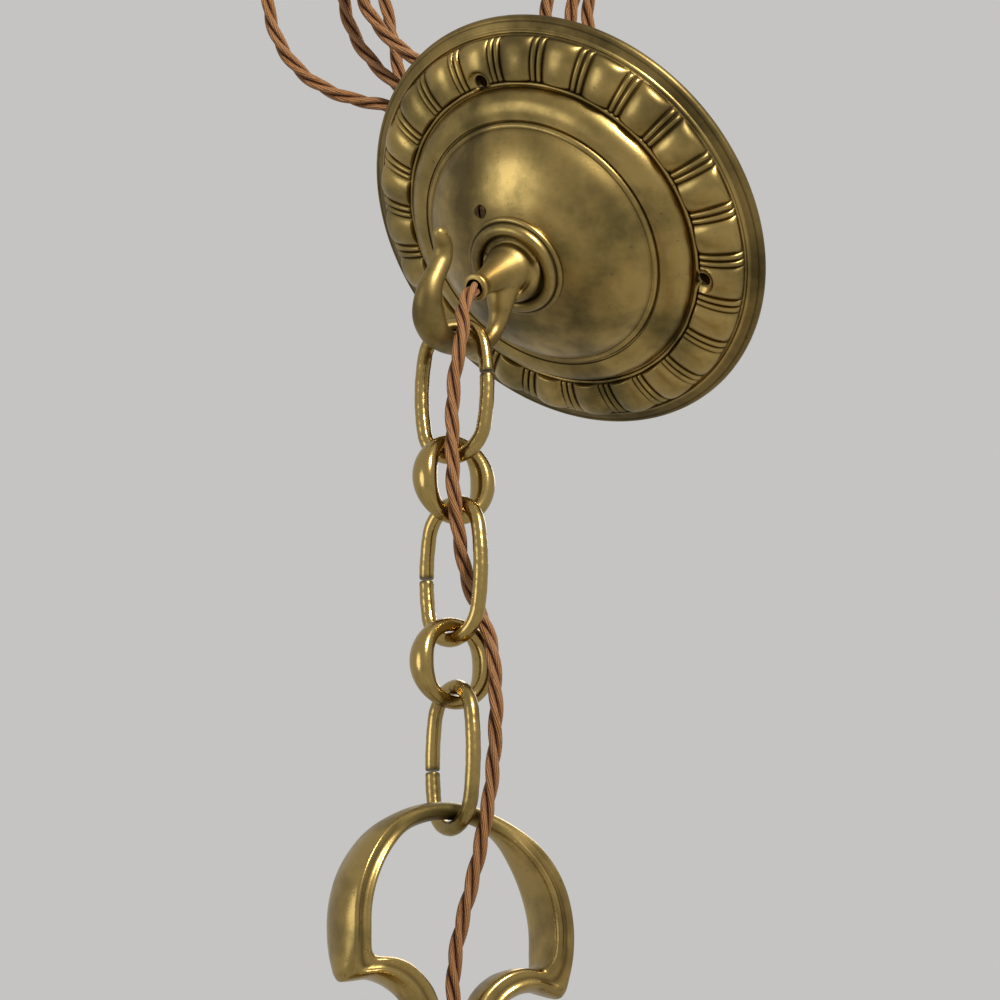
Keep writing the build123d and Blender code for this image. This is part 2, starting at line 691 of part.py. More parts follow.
knop_outline = [
    (vase_neck_r + 3, knop_z), (knop_r - 8, between(knop_z, knop_h, 0.15)), (knop_r - 1.5, between(knop_z, knop_h, 0.35)),
    (knop_r - 1.5, between(knop_z, knop_h, 0.65)), (knop_r - 8, between(knop_z, knop_h, 0.85)),
    (column_r + 4, column_z),
]
knop_lobes = (knop_r - knop_lobe_r, knop_lobe_count, knop_lobe_r, between(knop_z, knop_h, 0.66), 0.32 * knop_h)
gadrooned_knop = turned(knop_outline, knop_z, column_z, knop_lobes)
gadrooned_knop.part.label = "gadrooned_knop"
export_step(gadrooned_knop.part, "parts/gadrooned_knop.step")

column_outline = [
    (column_r + 4, column_z), (column_r + 4, between(column_z, column_h, 0.06)),
    (column_r, between(column_z, column_h, 0.1)), (column_r, between(column_z, column_h, 0.9)),
    (column_r + 3, between(column_z, column_h, 0.95)), (column_r + 3, lower_knop_z),
]
column_reeds = (column_r, reed_count, reed_r, between(column_z, column_h, 0.88), 0.76 * column_h)
stem_column = turned(column_outline, column_z, lower_knop_z, column_reeds)
stem_column.part.label = "stem_column"
export_step(stem_column.part, "parts/stem_column.step")

lower_knop_outline = [
    (column_r + 3, lower_knop_z), (lower_knop_r - 2, between(lower_knop_z, lower_knop_h, 0.2)),
    (lower_knop_r, between(lower_knop_z, lower_knop_h, 0.5)), (lower_knop_r - 2, between(lower_knop_z, lower_knop_h, 0.8)),
    (column_r + 3, hub_z),
]
lower_knop = turned(lower_knop_outline, lower_knop_z, hub_z)
lower_knop.part.label = "lower_knop"
export_step(lower_knop.part, "parts/lower_knop.step")

# Hub: a drum with the six arms screwed into its wall and the wiring inside
arm_hole_r = arm_tube_r + arm_fit
with BuildPart() as arm_hub:
    with BuildSketch(upright(0)):
        with BuildLine():
            Polyline(
                (stem_r + thread_play, hub_z), (hub_r - 6, hub_z), (hub_r - 2, hub_z - 3), (hub_r, hub_z - 6),
                (hub_r, bowl_z + 6), (hub_r - 2, bowl_z + 3), (hub_r - 2, bowl_z), (hub_cavity_r, bowl_z),
                (hub_cavity_r, hub_z - hub_top_t), (stem_r + thread_play, hub_z - hub_top_t), close=True,
            )
        make_face()
    revolve(axis=stem_axis)
    for arm in range(arm_count):
        way = Vector(cos(radians(arm_turn + arm * 360 / arm_count)), sin(radians(arm_turn + arm * 360 / arm_count)), 0)
        with BuildSketch(Plane(origin=Vector(axis_x, axis_y, arm_z) + way * arm_start, z_dir=way)):
            Circle(arm_hole_r)
        extrude(amount=hub_r, mode=Mode.SUBTRACT)
arm_hub.part.label = "arm_hub"
export_step(arm_hub.part, "parts/arm_hub.step")

# Bar across the hub's mouth, tapped for the finial's rod
with BuildPart() as bridge_bar:
    with BuildSketch(level(bowl_z)):
        Circle(hub_cavity_r - arm_fit)
        Rectangle(2 * hub_cavity_r, bar_w, mode=Mode.INTERSECT)
        Circle(finial_rod_r + thread_play, mode=Mode.SUBTRACT)
    extrude(amount=bar_t)
bridge_bar.part.label = "bridge_bar"
export_step(bridge_bar.part, "parts/bridge_bar.step")

# Hollow lobed bowl under the hub
with BuildPart() as bowl:
    with BuildSketch(upright(0)):
        with BuildLine():
            Polyline(
                (hub_r - 4, bowl_z), (hub_r + 2, bowl_z), (hub_r + 2, bowl_z - 3), (bowl_r - 4, bowl_z - 6),
                (bowl_r - 2, bowl_z - 12), (bowl_r - 5, bowl_z - 20), (bowl_r - 14, bowl_z - 29),
                (bowl_foot_r + 4, finial_z + 4), (bowl_foot_r, finial_z), (finial_rod_r + slip_play, finial_z),
                (finial_rod_r + slip_play, finial_z + 4 + bowl_wall), (bowl_foot_r + 3, finial_z + 4 + bowl_wall),
                (bowl_r - 14 - bowl_wall, bowl_z - 29 + bowl_wall), (bowl_r - 5 - bowl_wall, bowl_z - 19),
                (bowl_r - 2 - bowl_wall, bowl_z - 12), (hub_r - 4, bowl_z - 5), close=True,
            )
        make_face()
    revolve(axis=stem_axis)
    with BuildSketch(level(bowl_z - 18)):
        with PolarLocations(bowl_r - bowl_lobe_r, bowl_lobe_count):
            Circle(bowl_lobe_r)
    extrude(amount=12)
    # The lobes stay outside the hollow
    with BuildSketch(level(bowl_z - 18)):
        Circle(bowl_r - 5 - bowl_wall)
    extrude(amount=12, mode=Mode.SUBTRACT)
bowl.part.label = "bowl"
export_step(bowl.part, "parts/bowl.step")

# Turned finial whose rod holds the bowl up to the bridge bar
with BuildPart() as finial:
    with BuildSketch(upright(0)):
        with BuildLine():
            Polyline(
                (0, bowl_z + bar_t), (finial_rod_r, bowl_z + bar_t), (finial_rod_r, finial_z), (bowl_foot_r - 1, finial_z),
                (bowl_foot_r - 1, finial_z - 3), (6, finial_z - 7), (5, finial_z - 11), (finial_r - 3, finial_z - 16),
            )
            ThreePointArc(
                (finial_r - 3, finial_z - 16), (finial_r, finial_z - 24), (finial_r - 5, finial_z - 34),
            )
            Polyline(
                (finial_r - 5, finial_z - 34), (4, finial_z - 38), (5, finial_z - 41), (4, finial_z - finial_h + 4),
                (0, finial_z - finial_h), (0, bowl_z + bar_t),
            )
        make_face()
    revolve(axis=stem_axis)
finial.part.label = "finial"
export_step(finial.part, "parts/finial.step")

with BuildPart() as terminal_block:
    with BuildSketch(level(flex_foot - terminal_h)):
        Rectangle(terminal_l, terminal_w)
    extrude(amount=terminal_h)
    fillet(terminal_block.edges().filter_by(Axis.Z), 1.5)
    with BuildSketch(level(flex_foot)):
        with Locations((-terminal_l / 3, 0), (terminal_l / 3, 0)):
            Circle(wire_r + 0.2)
    extrude(amount=-terminal_h / 2, mode=Mode.SUBTRACT)
terminal_block.part.label = "terminal_block"
export_step(terminal_block.part, "parts/terminal_block.step")


# Centre line of an arm, in an upright plane through its axis
def arm_course(plane, start):
    with BuildLine(plane) as course:
        run = Line((start, arm_z), (arm_straight, arm_z))
        dip = JernArc(run @ 1, run % 1, arm_dip_r, -arm_dip)
        sweep_up = JernArc(dip @ 1, dip % 1, arm_sweep_r, arm_sweep)
        rise = JernArc(sweep_up @ 1, sweep_up % 1, arm_rise_r, arm_rise)
        Line(rise @ 1, (rise @ 1) + (rise % 1) * arm_stub)
    return course.wire()


flat_course = arm_course(Plane.XY, arm_start)
arm_reach = (flat_course @ 1).X
arm_top = (flat_course @ 1).Y
pan_z = arm_top + boss_h
cup_z = pan_z + pan_t
sleeve_z = cup_z + cup_floor
holder_top = sleeve_z + sleeve_h - holder_sink
holder_z = holder_top - holder_h
nipple_play = nipple_r + slip_play
scroll_from = flat_course @ scroll_start
scroll_way = (-(flat_course % scroll_start).X, -(flat_course % scroll_start).Y)
scroll_lift = arm_tube_r + scroll_sink
scroll_foot = (scroll_from.X + scroll_way[1] * scroll_lift, scroll_from.Y - scroll_way[0] * scroll_lift)

spoke = upright(0)
way = spoke.x_dir
light = upright(0, arm_reach)
light_axis = Axis(light.origin, (0, 0, 1))
course = arm_course(spoke, arm_start)
floor_plane = Plane(origin=light.origin, x_dir=way, z_dir=(0, 0, 1))

# Arm: a bent tube with a scroll above it and a socketed boss at its end
with BuildPart() as chandelier_arm:
    with BuildSketch(Plane(origin=course @ 0, z_dir=course % 0)):
        Circle(arm_tube_r)
        Circle(arm_bore_r, mode=Mode.SUBTRACT)
    sweep(path=course)
    with BuildSketch(floor_plane.offset(arm_top - arm_stub / 2)):
        Circle(boss_r)
        Circle(arm_bore_r, mode=Mode.SUBTRACT)
    extrude(amount=boss_h + arm_stub / 2)
    with BuildSketch(floor_plane.offset(pan_z - socket_depth)):
        Circle(nipple_r + arm_fit)
    extrude(amount=socket_depth, mode=Mode.SUBTRACT)
    # The scroll leaves along the tube's upper wall and curls back over it
    with BuildLine(spoke) as scroll_line:
        first = JernArc(scroll_foot, scroll_way, scroll_radii[0], -scroll_arcs[0])
        second = JernArc(first @ 1, first % 1, scroll_radii[1], -scroll_arcs[1])
        JernArc(second @ 1, second % 1, scroll_radii[2], -scroll_arcs[2])
    with BuildSketch(Plane(origin=scroll_line.wire() @ 0, z_dir=scroll_line.wire() % 0)):
        Circle(scroll_rod_r)
    sweep(path=scroll_line.wire())
    with Locations(scroll_line.wire() @ 1):
        Sphere(scroll_ball_r)

with BuildPart() as arm_nut:
    with BuildSketch(Plane(origin=course @ 0 + way * 0.4, x_dir=(0, 0, 1), z_dir=way)):
        RegularPolygon(arm_nut_flats / 2, 6, major_radius=False)
        Circle(arm_tube_r + thread_play, mode=Mode.SUBTRACT)
    extrude(amount=arm_nut_t)

wire_course = arm_course(spoke, wire_inner_r)
with BuildPart() as arm_wire:
    with BuildLine() as wire_line:
        add(wire_course)
        Line(wire_course @ 1, (wire_course @ 1) + Vector(0, 0, wire_top))
    with BuildSketch(Plane(origin=wire_line.wire() @ 0, z_dir=wire_line.wire() % 0)):
        Circle(wire_r)
    sweep(path=wire_line.wire())

with BuildPart() as drip_pan:
    with BuildSketch(light):
        with BuildLine():
            Polyline(
                (nipple_play, pan_z), (pan_seat_r, pan_z), (pan_r - 8, pan_z + 1.5), (pan_r - 2, pan_z + pan_lip - 2),
                (pan_r, pan_z + pan_lip), (pan_r - 2, pan_z + pan_lip), (pan_r - 9, pan_z + 1.5 + pan_t),
                (pan_seat_r + 2, cup_z), (nipple_play, cup_z), close=True,
            )
        make_face()
    revolve(axis=light_axis)

with BuildPart() as candle_cup:
    with BuildSketch(light):
        with BuildLine():
            Polyline(
                (nipple_play, cup_z), (cup_foot_r, cup_z), (cup_foot_r, cup_z + 1), (sleeve_r + 1.6, cup_z + 5),
                (cup_r, cup_z + 12), (sleeve_r + 1.4, cup_z + cup_h - 3), (cup_r, cup_z + cup_h),
                (sleeve_r + slip_play, cup_z + cup_h), (sleeve_r + slip_play, sleeve_z),
                (cup_foot_r - 1, sleeve_z - 1), (cup_foot_r - 1, sleeve_z - 2), (nipple_play, sleeve_z - 2), close=True,
            )
        make_face()
    revolve(axis=light_axis)

with BuildPart() as candle_sleeve:
    with BuildSketch(floor_plane.offset(sleeve_z)):
        Circle(sleeve_r)
        Circle(sleeve_r - sleeve_wall, mode=Mode.SUBTRACT)
    extrude(amount=sleeve_h)

with BuildPart() as lampholder:
    with BuildSketch(floor_plane.offset(holder_z)):
        Circle(holder_r)
    extrude(amount=holder_h)
    with BuildSketch(floor_plane.offset(pan_z - socket_depth)):
        Circle(nipple_r)
    extrude(amount=holder_z - pan_z + socket_depth)
    with BuildSketch(floor_plane.offset(holder_top)):
        Circle(lamp_bore_r)
    extrude(amount=-lamp_bore_depth, mode=Mode.SUBTRACT)
    with BuildSketch(floor_plane.offset(pan_z - socket_depth)):
        Circle(nipple_bore_r)
    extrude(amount=arm_top + wire_top - pan_z + socket_depth, mode=Mode.SUBTRACT)

# The arms and their lights are alike: one of each, turned to its place round the stem
spoke_turns = [arm_turn + arm * 360 / arm_count for arm in range(arm_count)]
light_pieces = {
    "arm": chandelier_arm.part,
    "drip_pan": drip_pan.part,
    "candle_cup": candle_cup.part,
    "candle_sleeve": candle_sleeve.part,
    "lampholder": lampholder.part,
}
for name, piece in light_pieces.items():
    for place, turn in enumerate(spoke_turns):
        placed = piece.rotate(stem_axis, turn)
        placed.label = f"{name}_{place + 1}"
        export_step(placed, f"parts/{placed.label}.step")

arm_nuts = Compound(label="arm_nuts", children=[arm_nut.part.rotate(stem_axis, turn) for turn in spoke_turns])
export_step(arm_nuts, "parts/arm_nuts.step")
arm_wires = Compound(label="arm_wires", children=[arm_wire.part.rotate(stem_axis, turn) for turn in spoke_turns])
export_step(arm_wires, "parts/arm_wires.step")

print("hook throat", tuple(round(value, 2) for value in throat), "axis", tuple(round(value, 4) for value in hook_normal))
print("load point", tuple(round(value, 2) for value in load_point))
print("link tops and feet", [round(value, 2) for value in link_tops + link_feet])
print("ring tops and feet", [round(value, 2) for value in ring_tops + ring_feet])
print("loop centre height", round(loop_z, 2), "arm reach", round(arm_reach, 2), "arm top", round(arm_top, 2))
print("lampholder top", round(holder_top, 2), "foot of the finial", round(finial_z - finial_h, 2))
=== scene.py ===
import json
from math import cos, pi, radians, sin

import bmesh
import bpy
import numpy as np
from mathutils import Matrix, Vector


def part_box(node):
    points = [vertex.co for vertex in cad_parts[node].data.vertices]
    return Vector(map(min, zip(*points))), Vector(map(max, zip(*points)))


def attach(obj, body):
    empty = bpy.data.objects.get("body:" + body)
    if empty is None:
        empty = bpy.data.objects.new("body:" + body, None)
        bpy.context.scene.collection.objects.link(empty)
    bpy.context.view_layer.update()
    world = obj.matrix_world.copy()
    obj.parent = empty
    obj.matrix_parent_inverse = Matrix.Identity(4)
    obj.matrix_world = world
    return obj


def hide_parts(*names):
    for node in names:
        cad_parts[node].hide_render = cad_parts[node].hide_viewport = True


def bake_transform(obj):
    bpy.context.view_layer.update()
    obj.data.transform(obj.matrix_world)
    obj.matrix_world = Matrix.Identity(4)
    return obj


# Six-arm brass chandelier. Lengths below are in millimetres until a piece is made.
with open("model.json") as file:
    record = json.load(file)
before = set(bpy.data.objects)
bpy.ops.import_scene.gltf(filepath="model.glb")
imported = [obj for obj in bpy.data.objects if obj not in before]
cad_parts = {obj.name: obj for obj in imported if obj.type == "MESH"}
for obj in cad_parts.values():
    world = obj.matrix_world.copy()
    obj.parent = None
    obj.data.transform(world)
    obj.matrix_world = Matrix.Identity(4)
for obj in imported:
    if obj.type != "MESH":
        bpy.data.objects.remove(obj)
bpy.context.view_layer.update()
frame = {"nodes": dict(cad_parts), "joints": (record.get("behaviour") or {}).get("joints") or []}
cadNodes = frame["nodes"]
joints = {joint["name"]: joint for joint in frame["joints"]}
mm = 0.001
up = Vector((0, 0, 1))


def jointPlace(name):
    return Vector(joints[name]["pos_m"]) / mm


def jointAxis(name):
    return Vector(joints[name]["axis"]).normalized()


def topOf(node):
    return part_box(node)[1].z / mm


def footOf(node):
    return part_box(node)[0].z / mm


# Frame from its X way, its Z way and its origin
def frameAt(x, z, place):
    return Matrix.Translation(place) @ Matrix((x, z.cross(x), z)).transposed().to_4x4()


# Ceiling plate's own frame: X towards the hanging hole, Z out of its front face
plateAt = {"lean": 48.9, "heading": -132.0, "spin": -1.5, "holeCircle": 57.8, "holeHeight": 10.3, "holes": 3}
lean, heading, spin = (radians(plateAt[key]) for key in ("lean", "heading", "spin"))
plateNormal = Vector((sin(lean) * cos(heading), sin(lean) * sin(heading), -cos(lean)))
slope = Vector((cos(lean) * cos(heading), cos(lean) * sin(heading), sin(lean)))
holeWay = slope * cos(spin) + plateNormal.cross(slope) * sin(spin)
plateCentre = -(holeWay * plateAt["holeCircle"] + plateNormal * plateAt["holeHeight"])
plateFrame = frameAt(holeWay, plateNormal, plateCentre)
holeAngles = [k * 2 * pi / plateAt["holes"] for k in range(plateAt["holes"])]
screwHoles = [
    (plateAt["holeCircle"] * cos(angle), plateAt["holeCircle"] * sin(angle), 0) for angle in holeAngles
]

# Chain: every piece hangs plumb on one line
axisX, axisY = jointPlace("ring_1_swing").x, jointPlace("ring_1_swing").y


# Shape helpers

# Smooth curve through the given points, as a numpy array
def smoothLine(points, count, places=None):
    points = np.array(points, float)
    steps = np.linalg.norm(np.diff(points[:, :places], axis=0), axis=1)
    at = np.concatenate([[0], np.cumsum(steps)])
    if len(points) > 2:
        slopes = np.gradient(points, at, axis=0)
    else:
        slopes = np.repeat(np.diff(points, axis=0) / at[1], 2, 0)
    want = np.linspace(0, at[-1], count)
    place = np.clip(np.searchsorted(at, want, side="right") - 1, 0, len(at) - 2)
    width = (at[place + 1] - at[place])[:, None]
    t = ((want - at[place])[:, None]) / width
    return (
        (2 * t**3 - 3 * t**2 + 1) * points[place]
        + (t**3 - 2 * t**2 + t) * width * slopes[place]
        + (3 * t**2 - 2 * t**3) * points[place + 1]
        + (t**3 - t**2) * width * slopes[place + 1]
    )


# Outline from a first point on: a point is a straight run to it, a list of points a smooth run through them
def moulding(parts, step=0.5, rise=0.0):
    line = np.array(parts[:1], float) + (0, rise)
    for part in parts[1:]:
        run = np.array(part if isinstance(part, list) else [part], float) + (0, rise)
        run = np.vstack([line[-1:], run])
        length = np.linalg.norm(np.diff(run, axis=0), axis=1).sum()
        line = np.vstack([line, smoothLine(run, max(2, int(length / step) + 1))[1:]])
    return line


def waysOf(points):
    ways = np.gradient(points, axis=0)
    return ways / np.maximum(np.linalg.norm(ways, axis=1, keepdims=True), 1e-9)


def lengthAt(line):
    return np.concatenate([[0], np.cumsum(np.linalg.norm(np.diff(line, axis=0), axis=1))])


# Point or points of a line at the given lengths
def pointsAt(line, at, want):
    return np.stack([np.interp(want, at, line[:, k]) for k in range(line.shape[1])], -1)


# Rows of points turned round Z from an outline of (radius, height), with an optional change of radius
def spun(outline, sides, swell=None):
    turn = np.arange(sides) * 2 * pi / sides
    radius = np.repeat(outline[:, :1], sides, 1)
    if swell is not None:
        radius = radius + swell(outline[:, :1], outline[:, 1:2], turn[None, :])
    height = np.repeat(outline[:, 1:2], sides, 1)
    return np.stack([radius * np.cos(turn), radius * np.sin(turn), height], -1)


# Directions along a line, and a pair square to it that never twists
def lineFrames(points, start):
    ways = np.gradient(points, axis=0)
    ways /= np.linalg.norm(ways, axis=1, keepdims=True)
    side = np.cross(start, ways[0])
    sides = []
    for way in ways:
        side = side - way * side.dot(way)
        side = side / np.linalg.norm(side)
        sides.append(side)
    sides = np.array(sides)
    return sides, np.cross(ways, sides)


# Round of a section, made squarer by a power below 1
def sectionRound(sides, power):
    turn = np.arange(sides) * 2 * pi / sides
    return [np.sign(wave) * np.abs(wave) ** power for wave in (np.cos(turn), np.sin(turn))]


# Rows of a rod of round or oval section along a line
def rod(points, half, halfAcross=None, sides=20, start=(0, 1, 0), power=1.0):
    points = np.asarray(points, float)
    half = np.broadcast_to(np.asarray(half, float), len(points))
    halfAcross = half if halfAcross is None else np.broadcast_to(np.asarray(halfAcross, float), len(points))
    first, second = lineFrames(points, start)
    c, s = sectionRound(sides, power)
    return (
        points[:, None]
        + first[:, None] * (c[None, :] * half[:, None])[..., None]
        + second[:, None] * (s[None, :] * halfAcross[:, None])[..., None]
    )


# Line drawn by runs and bends in an upright plane: each move is (length,) or (radius, bend in degrees)
def drawn(start, heading, moves, step=1.5):
    place, heading = np.array(start, float), radians(heading)
    points = [place]
    for move in moves:
        if len(move) == 1:
            count = max(1, int(move[0] / step))
            chord, bend = move[0] / count, 0.0
        else:
            radius, bend = move[0], radians(move[1])
            count = max(3, int(abs(bend) * radius / step))
            chord = 2 * radius * sin(abs(bend) / count / 2)
        for _ in range(count):
            middle = heading + bend / count / 2
            place = place + np.array([cos(middle), sin(middle)]) * chord
            heading += bend / count
            points.append(place)
    return np.array(points)


# Points of a plane line stood up along the X axis
def stood(line):
    return np.stack([line[:, 0], np.zeros(len(line)), line[:, 1]], -1)


# Quads between the rows of a grid, which may be closed either way
def gridFaces(count, width, closeAlong, closeAcross):
    i = np.arange(count if closeAlong else count - 1)[:, None]
    j = np.arange(width if closeAcross else width - 1)[None, :]
    after, beside = (i + 1) % count, (j + 1) % width
    faces = np.stack([i * width + j, i * width + beside, after * width + beside, after * width + j], -1)
    return faces.reshape(-1, 4).tolist()


# Skin over rows of points that are rings: its points, faces and grime
def skin(rows, closeAlong=False, ends=True, grime=None):
    rows = np.asarray(rows, float)
    count, width = rows.shape[:2]
    faces = gridFaces(count, width, closeAlong, True)
    points = rows.reshape(-1, 3)
    if ends and not closeAlong:
        faces += [list(range(width))[::-1], [(count - 1) * width + k for k in range(width)]]
    shade = np.zeros(len(points)) if grime is None else np.broadcast_to(grime, rows.shape[:2]).reshape(-1)
    return points, faces, shade


def addObject(name, data):
    thing = bpy.data.objects.new(name, data)
    bpy.context.scene.collection.objects.link(thing)
    return thing


# Moves a mesh from millimetres of its own frame into place
def moveInto(mesh, place):
    move = place.copy()
    move.translation = move.translation * mm
    mesh.transform(move)


# Mesh object in metres from skins in millimetres
def makeMesh(name, skins, place=None, merge=1e-6):
    points, faces, shades = [], [], []
    for part, sides, shade in skins:
        base = sum(len(p) for p in points)
        points.append(part)
        shades.append(shade)
        faces += [[corner + base for corner in face] for face in sides]
    mesh = bpy.data.meshes.new(name)
    mesh.from_pydata((np.vstack(points) * mm).tolist(), [], faces)
    layer = mesh.attributes.new("grime", "FLOAT", "POINT")
    layer.data.foreach_set("value", np.concatenate(shades).astype(np.float32))
    work = bmesh.new()
    work.from_mesh(mesh)
    bmesh.ops.remove_doubles(work, verts=work.verts, dist=merge)
    bmesh.ops.dissolve_degenerate(work, dist=merge / 2, edges=work.edges)
    bmesh.ops.recalc_face_normals(work, faces=work.faces)
    work.to_mesh(mesh)
    work.free()
    if place is not None:
        moveInto(mesh, place)
    return addObject(name, mesh)


def evaluated(piece):
    bpy.context.view_layer.update()
    return bpy.data.meshes.new_from_object(piece.evaluated_get(bpy.context.evaluated_depsgraph_get()))


# Applies an object's modifiers
def settle(piece):
    mesh = evaluated(piece)
    piece.modifiers.clear()
    piece.data = mesh


def paint(piece, material):
    piece.data.materials.clear()
    piece.data.materials.append(material)


def finishPiece(piece, material, body, nodes=(), sharp=38):
    paint(piece, material)
    piece.data.shade_smooth()
    piece.data.set_sharp_from_angle(angle=radians(sharp))
    if body:
        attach(piece, body)
    if nodes:
        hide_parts(*nodes)


# Takes a round hole out of a piece
def boreHole(piece, start, way, radius, length, sides=40):
    line = np.array([start, Vector(start) + Vector(way).normalized() * length], float)
    cutter = makeMesh("cutter", [skin(rod(line, radius, sides=sides, start=(0.3, 0.5, 0.8)))])
    cut = piece.modifiers.new("bore", "BOOLEAN")
    cut.operation = "DIFFERENCE"
    cut.solver = "EXACT"
    cut.object = cutter
    settle(piece)
    bpy.data.objects.remove(cutter)


# Node trees

# Gives a node's inputs a value each, or a link from another node's socket
def setInputs(tree, node, values):
    for key, value in values.items():
        if isinstance(value, bpy.types.NodeSocket):
            tree.links.new(value, node.inputs[key])
        else:
            node.inputs[key].default_value = value


def addNode(tree, kind, values=(), **settings):
    node = tree.nodes.new(kind)
    for key, value in settings.items():
        setattr(node, key, value)
    setInputs(tree, node, dict(values))
    return node


# Node that takes what flows along the tree as its first input
def nextNode(tree, kind, flow, values=(), **settings):
    return addNode(tree, kind, {0: flow, **dict(values)}, **settings).outputs[0]


def reckon(tree, how, *values):
    return addNode(tree, "ShaderNodeMath", dict(enumerate(values)), operation=how).outputs[0]


def reckonWay(tree, how, **values):
    sockets = {"first": 0, "second": 1, "scale": "Scale"}
    inputs = {sockets[key]: value for key, value in values.items()}
    node = addNode(tree, "ShaderNodeVectorMath", inputs, operation=how)
    return node.outputs["Value" if how == "DISTANCE" else "Vector"]


def storeValue(tree, flow, name, value, kind="FLOAT"):
    inputs = {"Name": name, "Value": value}
    return nextNode(tree, "GeometryNodeStoreNamedAttribute", flow, inputs, data_type=kind)


def newTree(name, inputs):
    tree = bpy.data.node_groups.new(name, "GeometryNodeTree")
    tree.interface.new_socket("Geometry", in_out="INPUT", socket_type="NodeSocketGeometry")
    for label, kind in inputs:
        tree.interface.new_socket(label, in_out="INPUT", socket_type=f"NodeSocket{kind}")
    tree.interface.new_socket("Geometry", in_out="OUTPUT", socket_type="NodeSocketGeometry")
    return tree, tree.nodes.new("NodeGroupInput").outputs


# Last nodes of a tree: real geometry, welded where asked, in its material
def closeTree(tree, given, flow, weld=None):
    flow = nextNode(tree, "GeometryNodeRealizeInstances", flow)
    if weld:
        flow = nextNode(tree, "GeometryNodeMergeByDistance", flow, {"Distance": weld})
    flow = nextNode(tree, "GeometryNodeSetMaterial", flow, {"Material": given["Material"]})
    addNode(tree, "NodeGroupOutput", {0: flow})
    return tree


def giveTree(piece, tree, values):
    names = {item.name: item.identifier for item in tree.interface.items_tree if item.in_out == "INPUT"}
    modifier = piece.modifiers.new(tree.name, "NODES")
    modifier.node_group = tree
    for label, value in values.items():
        modifier[names[label]] = value


# Copies of a piece turned round an upright line
def roundTree():
    tree, given = newTree("piecesInARing", [("Count", "Int"), ("Middle", "Vector"), ("Material", "Material")])
    line = addNode(tree, "GeometryNodeMeshLine", {"Count": given["Count"], "Offset": (0, 0, 0)})
    points = line.outputs["Mesh"]
    flow = nextNode(tree, "GeometryNodeInstanceOnPoints", points, {"Instance": given["Geometry"]})
    index = addNode(tree, "GeometryNodeInputIndex").outputs["Index"]
    angle = reckon(tree, "MULTIPLY", reckon(tree, "DIVIDE", index, given["Count"]), 2 * pi)
    turn = addNode(tree, "ShaderNodeCombineXYZ", {"Z": angle}).outputs["Vector"]
    flow = nextNode(tree, "GeometryNodeRotateInstances", flow, {
        "Rotation": turn, "Pivot Point": given["Middle"], "Local Space": False,
    })
    return closeTree(tree, given, flow, weld=2e-6)


# Three round cores twisted about a line, cut to a share of its length
def twistTree():
    tree, given = newTree("twistedCores", [
        ("Core radius", "Float"), ("Twist radius", "Float"), ("Lay", "Float"), ("Step", "Float"),
        ("From", "Float"), ("To", "Float"), ("Material", "Material"),
    ])
    line = nextNode(
        tree, "GeometryNodeResampleCurve", given["Geometry"], {"Length": given["Step"]}, mode="LENGTH",
    )
    along = addNode(tree, "GeometryNodeSplineParameter").outputs
    normal = addNode(tree, "GeometryNodeInputNormal").outputs[0]
    tangent = addNode(tree, "GeometryNodeInputTangent").outputs[0]
    third = reckonWay(tree, "CROSS_PRODUCT", first=tangent, second=normal)
    turns = reckon(tree, "DIVIDE", along["Length"], given["Lay"])
    line = storeValue(tree, line, "along", along["Length"])
    place = addNode(tree, "GeometryNodeInputPosition").outputs[0]
    line = storeValue(tree, line, "heart", place, "FLOAT_VECTOR")
    section = {"Resolution": 12, "Radius": given["Core radius"]}
    profile = addNode(tree, "GeometryNodeCurvePrimitiveCircle", section)
    share = addNode(tree, "GeometryNodeSplineParameter").outputs["Factor"]
    folded = reckon(tree, "ABSOLUTE", reckon(tree, "SUBTRACT", share, 0.5))
    section = storeValue(tree, profile.outputs["Curve"], "around", folded)
    together = tree.nodes.new("GeometryNodeJoinGeometry")
    for core in range(3):
        angle = reckon(tree, "MULTIPLY_ADD", turns, -2 * pi, core * 2 * pi / 3)
        parts = []
        for kind, way in (("COSINE", normal), ("SINE", third)):
            reach = reckon(tree, "MULTIPLY", reckon(tree, kind, angle), given["Twist radius"])
            parts.append(reckonWay(tree, "SCALE", first=way, scale=reach))
        offset = reckonWay(tree, "ADD", first=parts[0], second=parts[1])
        flow = nextNode(tree, "GeometryNodeSetPosition", line, {"Offset": offset})
        flow = nextNode(
            tree, "GeometryNodeTrimCurve", flow, {"Start": given["From"], "End": given["To"]}, mode="FACTOR",
        )
        flow = nextNode(tree, "GeometryNodeCurveToMesh", flow, {"Profile Curve": section, "Fill Caps": True})
        tree.links.new(flow, together.inputs["Geometry"])
    # How far each point lies from the line, for the painted shade between the cores
    heart = addNode(tree, "GeometryNodeInputNamedAttribute", {"Name": "heart"}, data_type="FLOAT_VECTOR")
    here = addNode(tree, "GeometryNodeInputPosition").outputs[0]
    away = reckonWay(tree, "DISTANCE", first=heart.outputs["Attribute"], second=here)
    flow = storeValue(tree, together.outputs["Geometry"], "away", away)
    flow = nextNode(tree, "GeometryNodeRemoveAttribute", flow, {"Name": "heart"})
    return closeTree(tree, given, flow)


ringTree = roundTree()
twist = twistTree()
print("node trees made")


# Materials

def newMaterial(name):
    material = bpy.data.materials.new(name)
    material.use_nodes = True
    return material, material.node_tree, material.node_tree.nodes["Principled BSDF"]


# Two colours mixed by a share: inputs 6 and 7 of the node are the colours, and 0 is the share
def blendColour(tree, first, second, share):
    ends = [(*end, 1) if isinstance(end, tuple) else end for end in (first, second)]
    return addNode(tree, "ShaderNodeMix", {6: ends[0], 7: ends[1], 0: share}, data_type="RGBA").outputs[2]


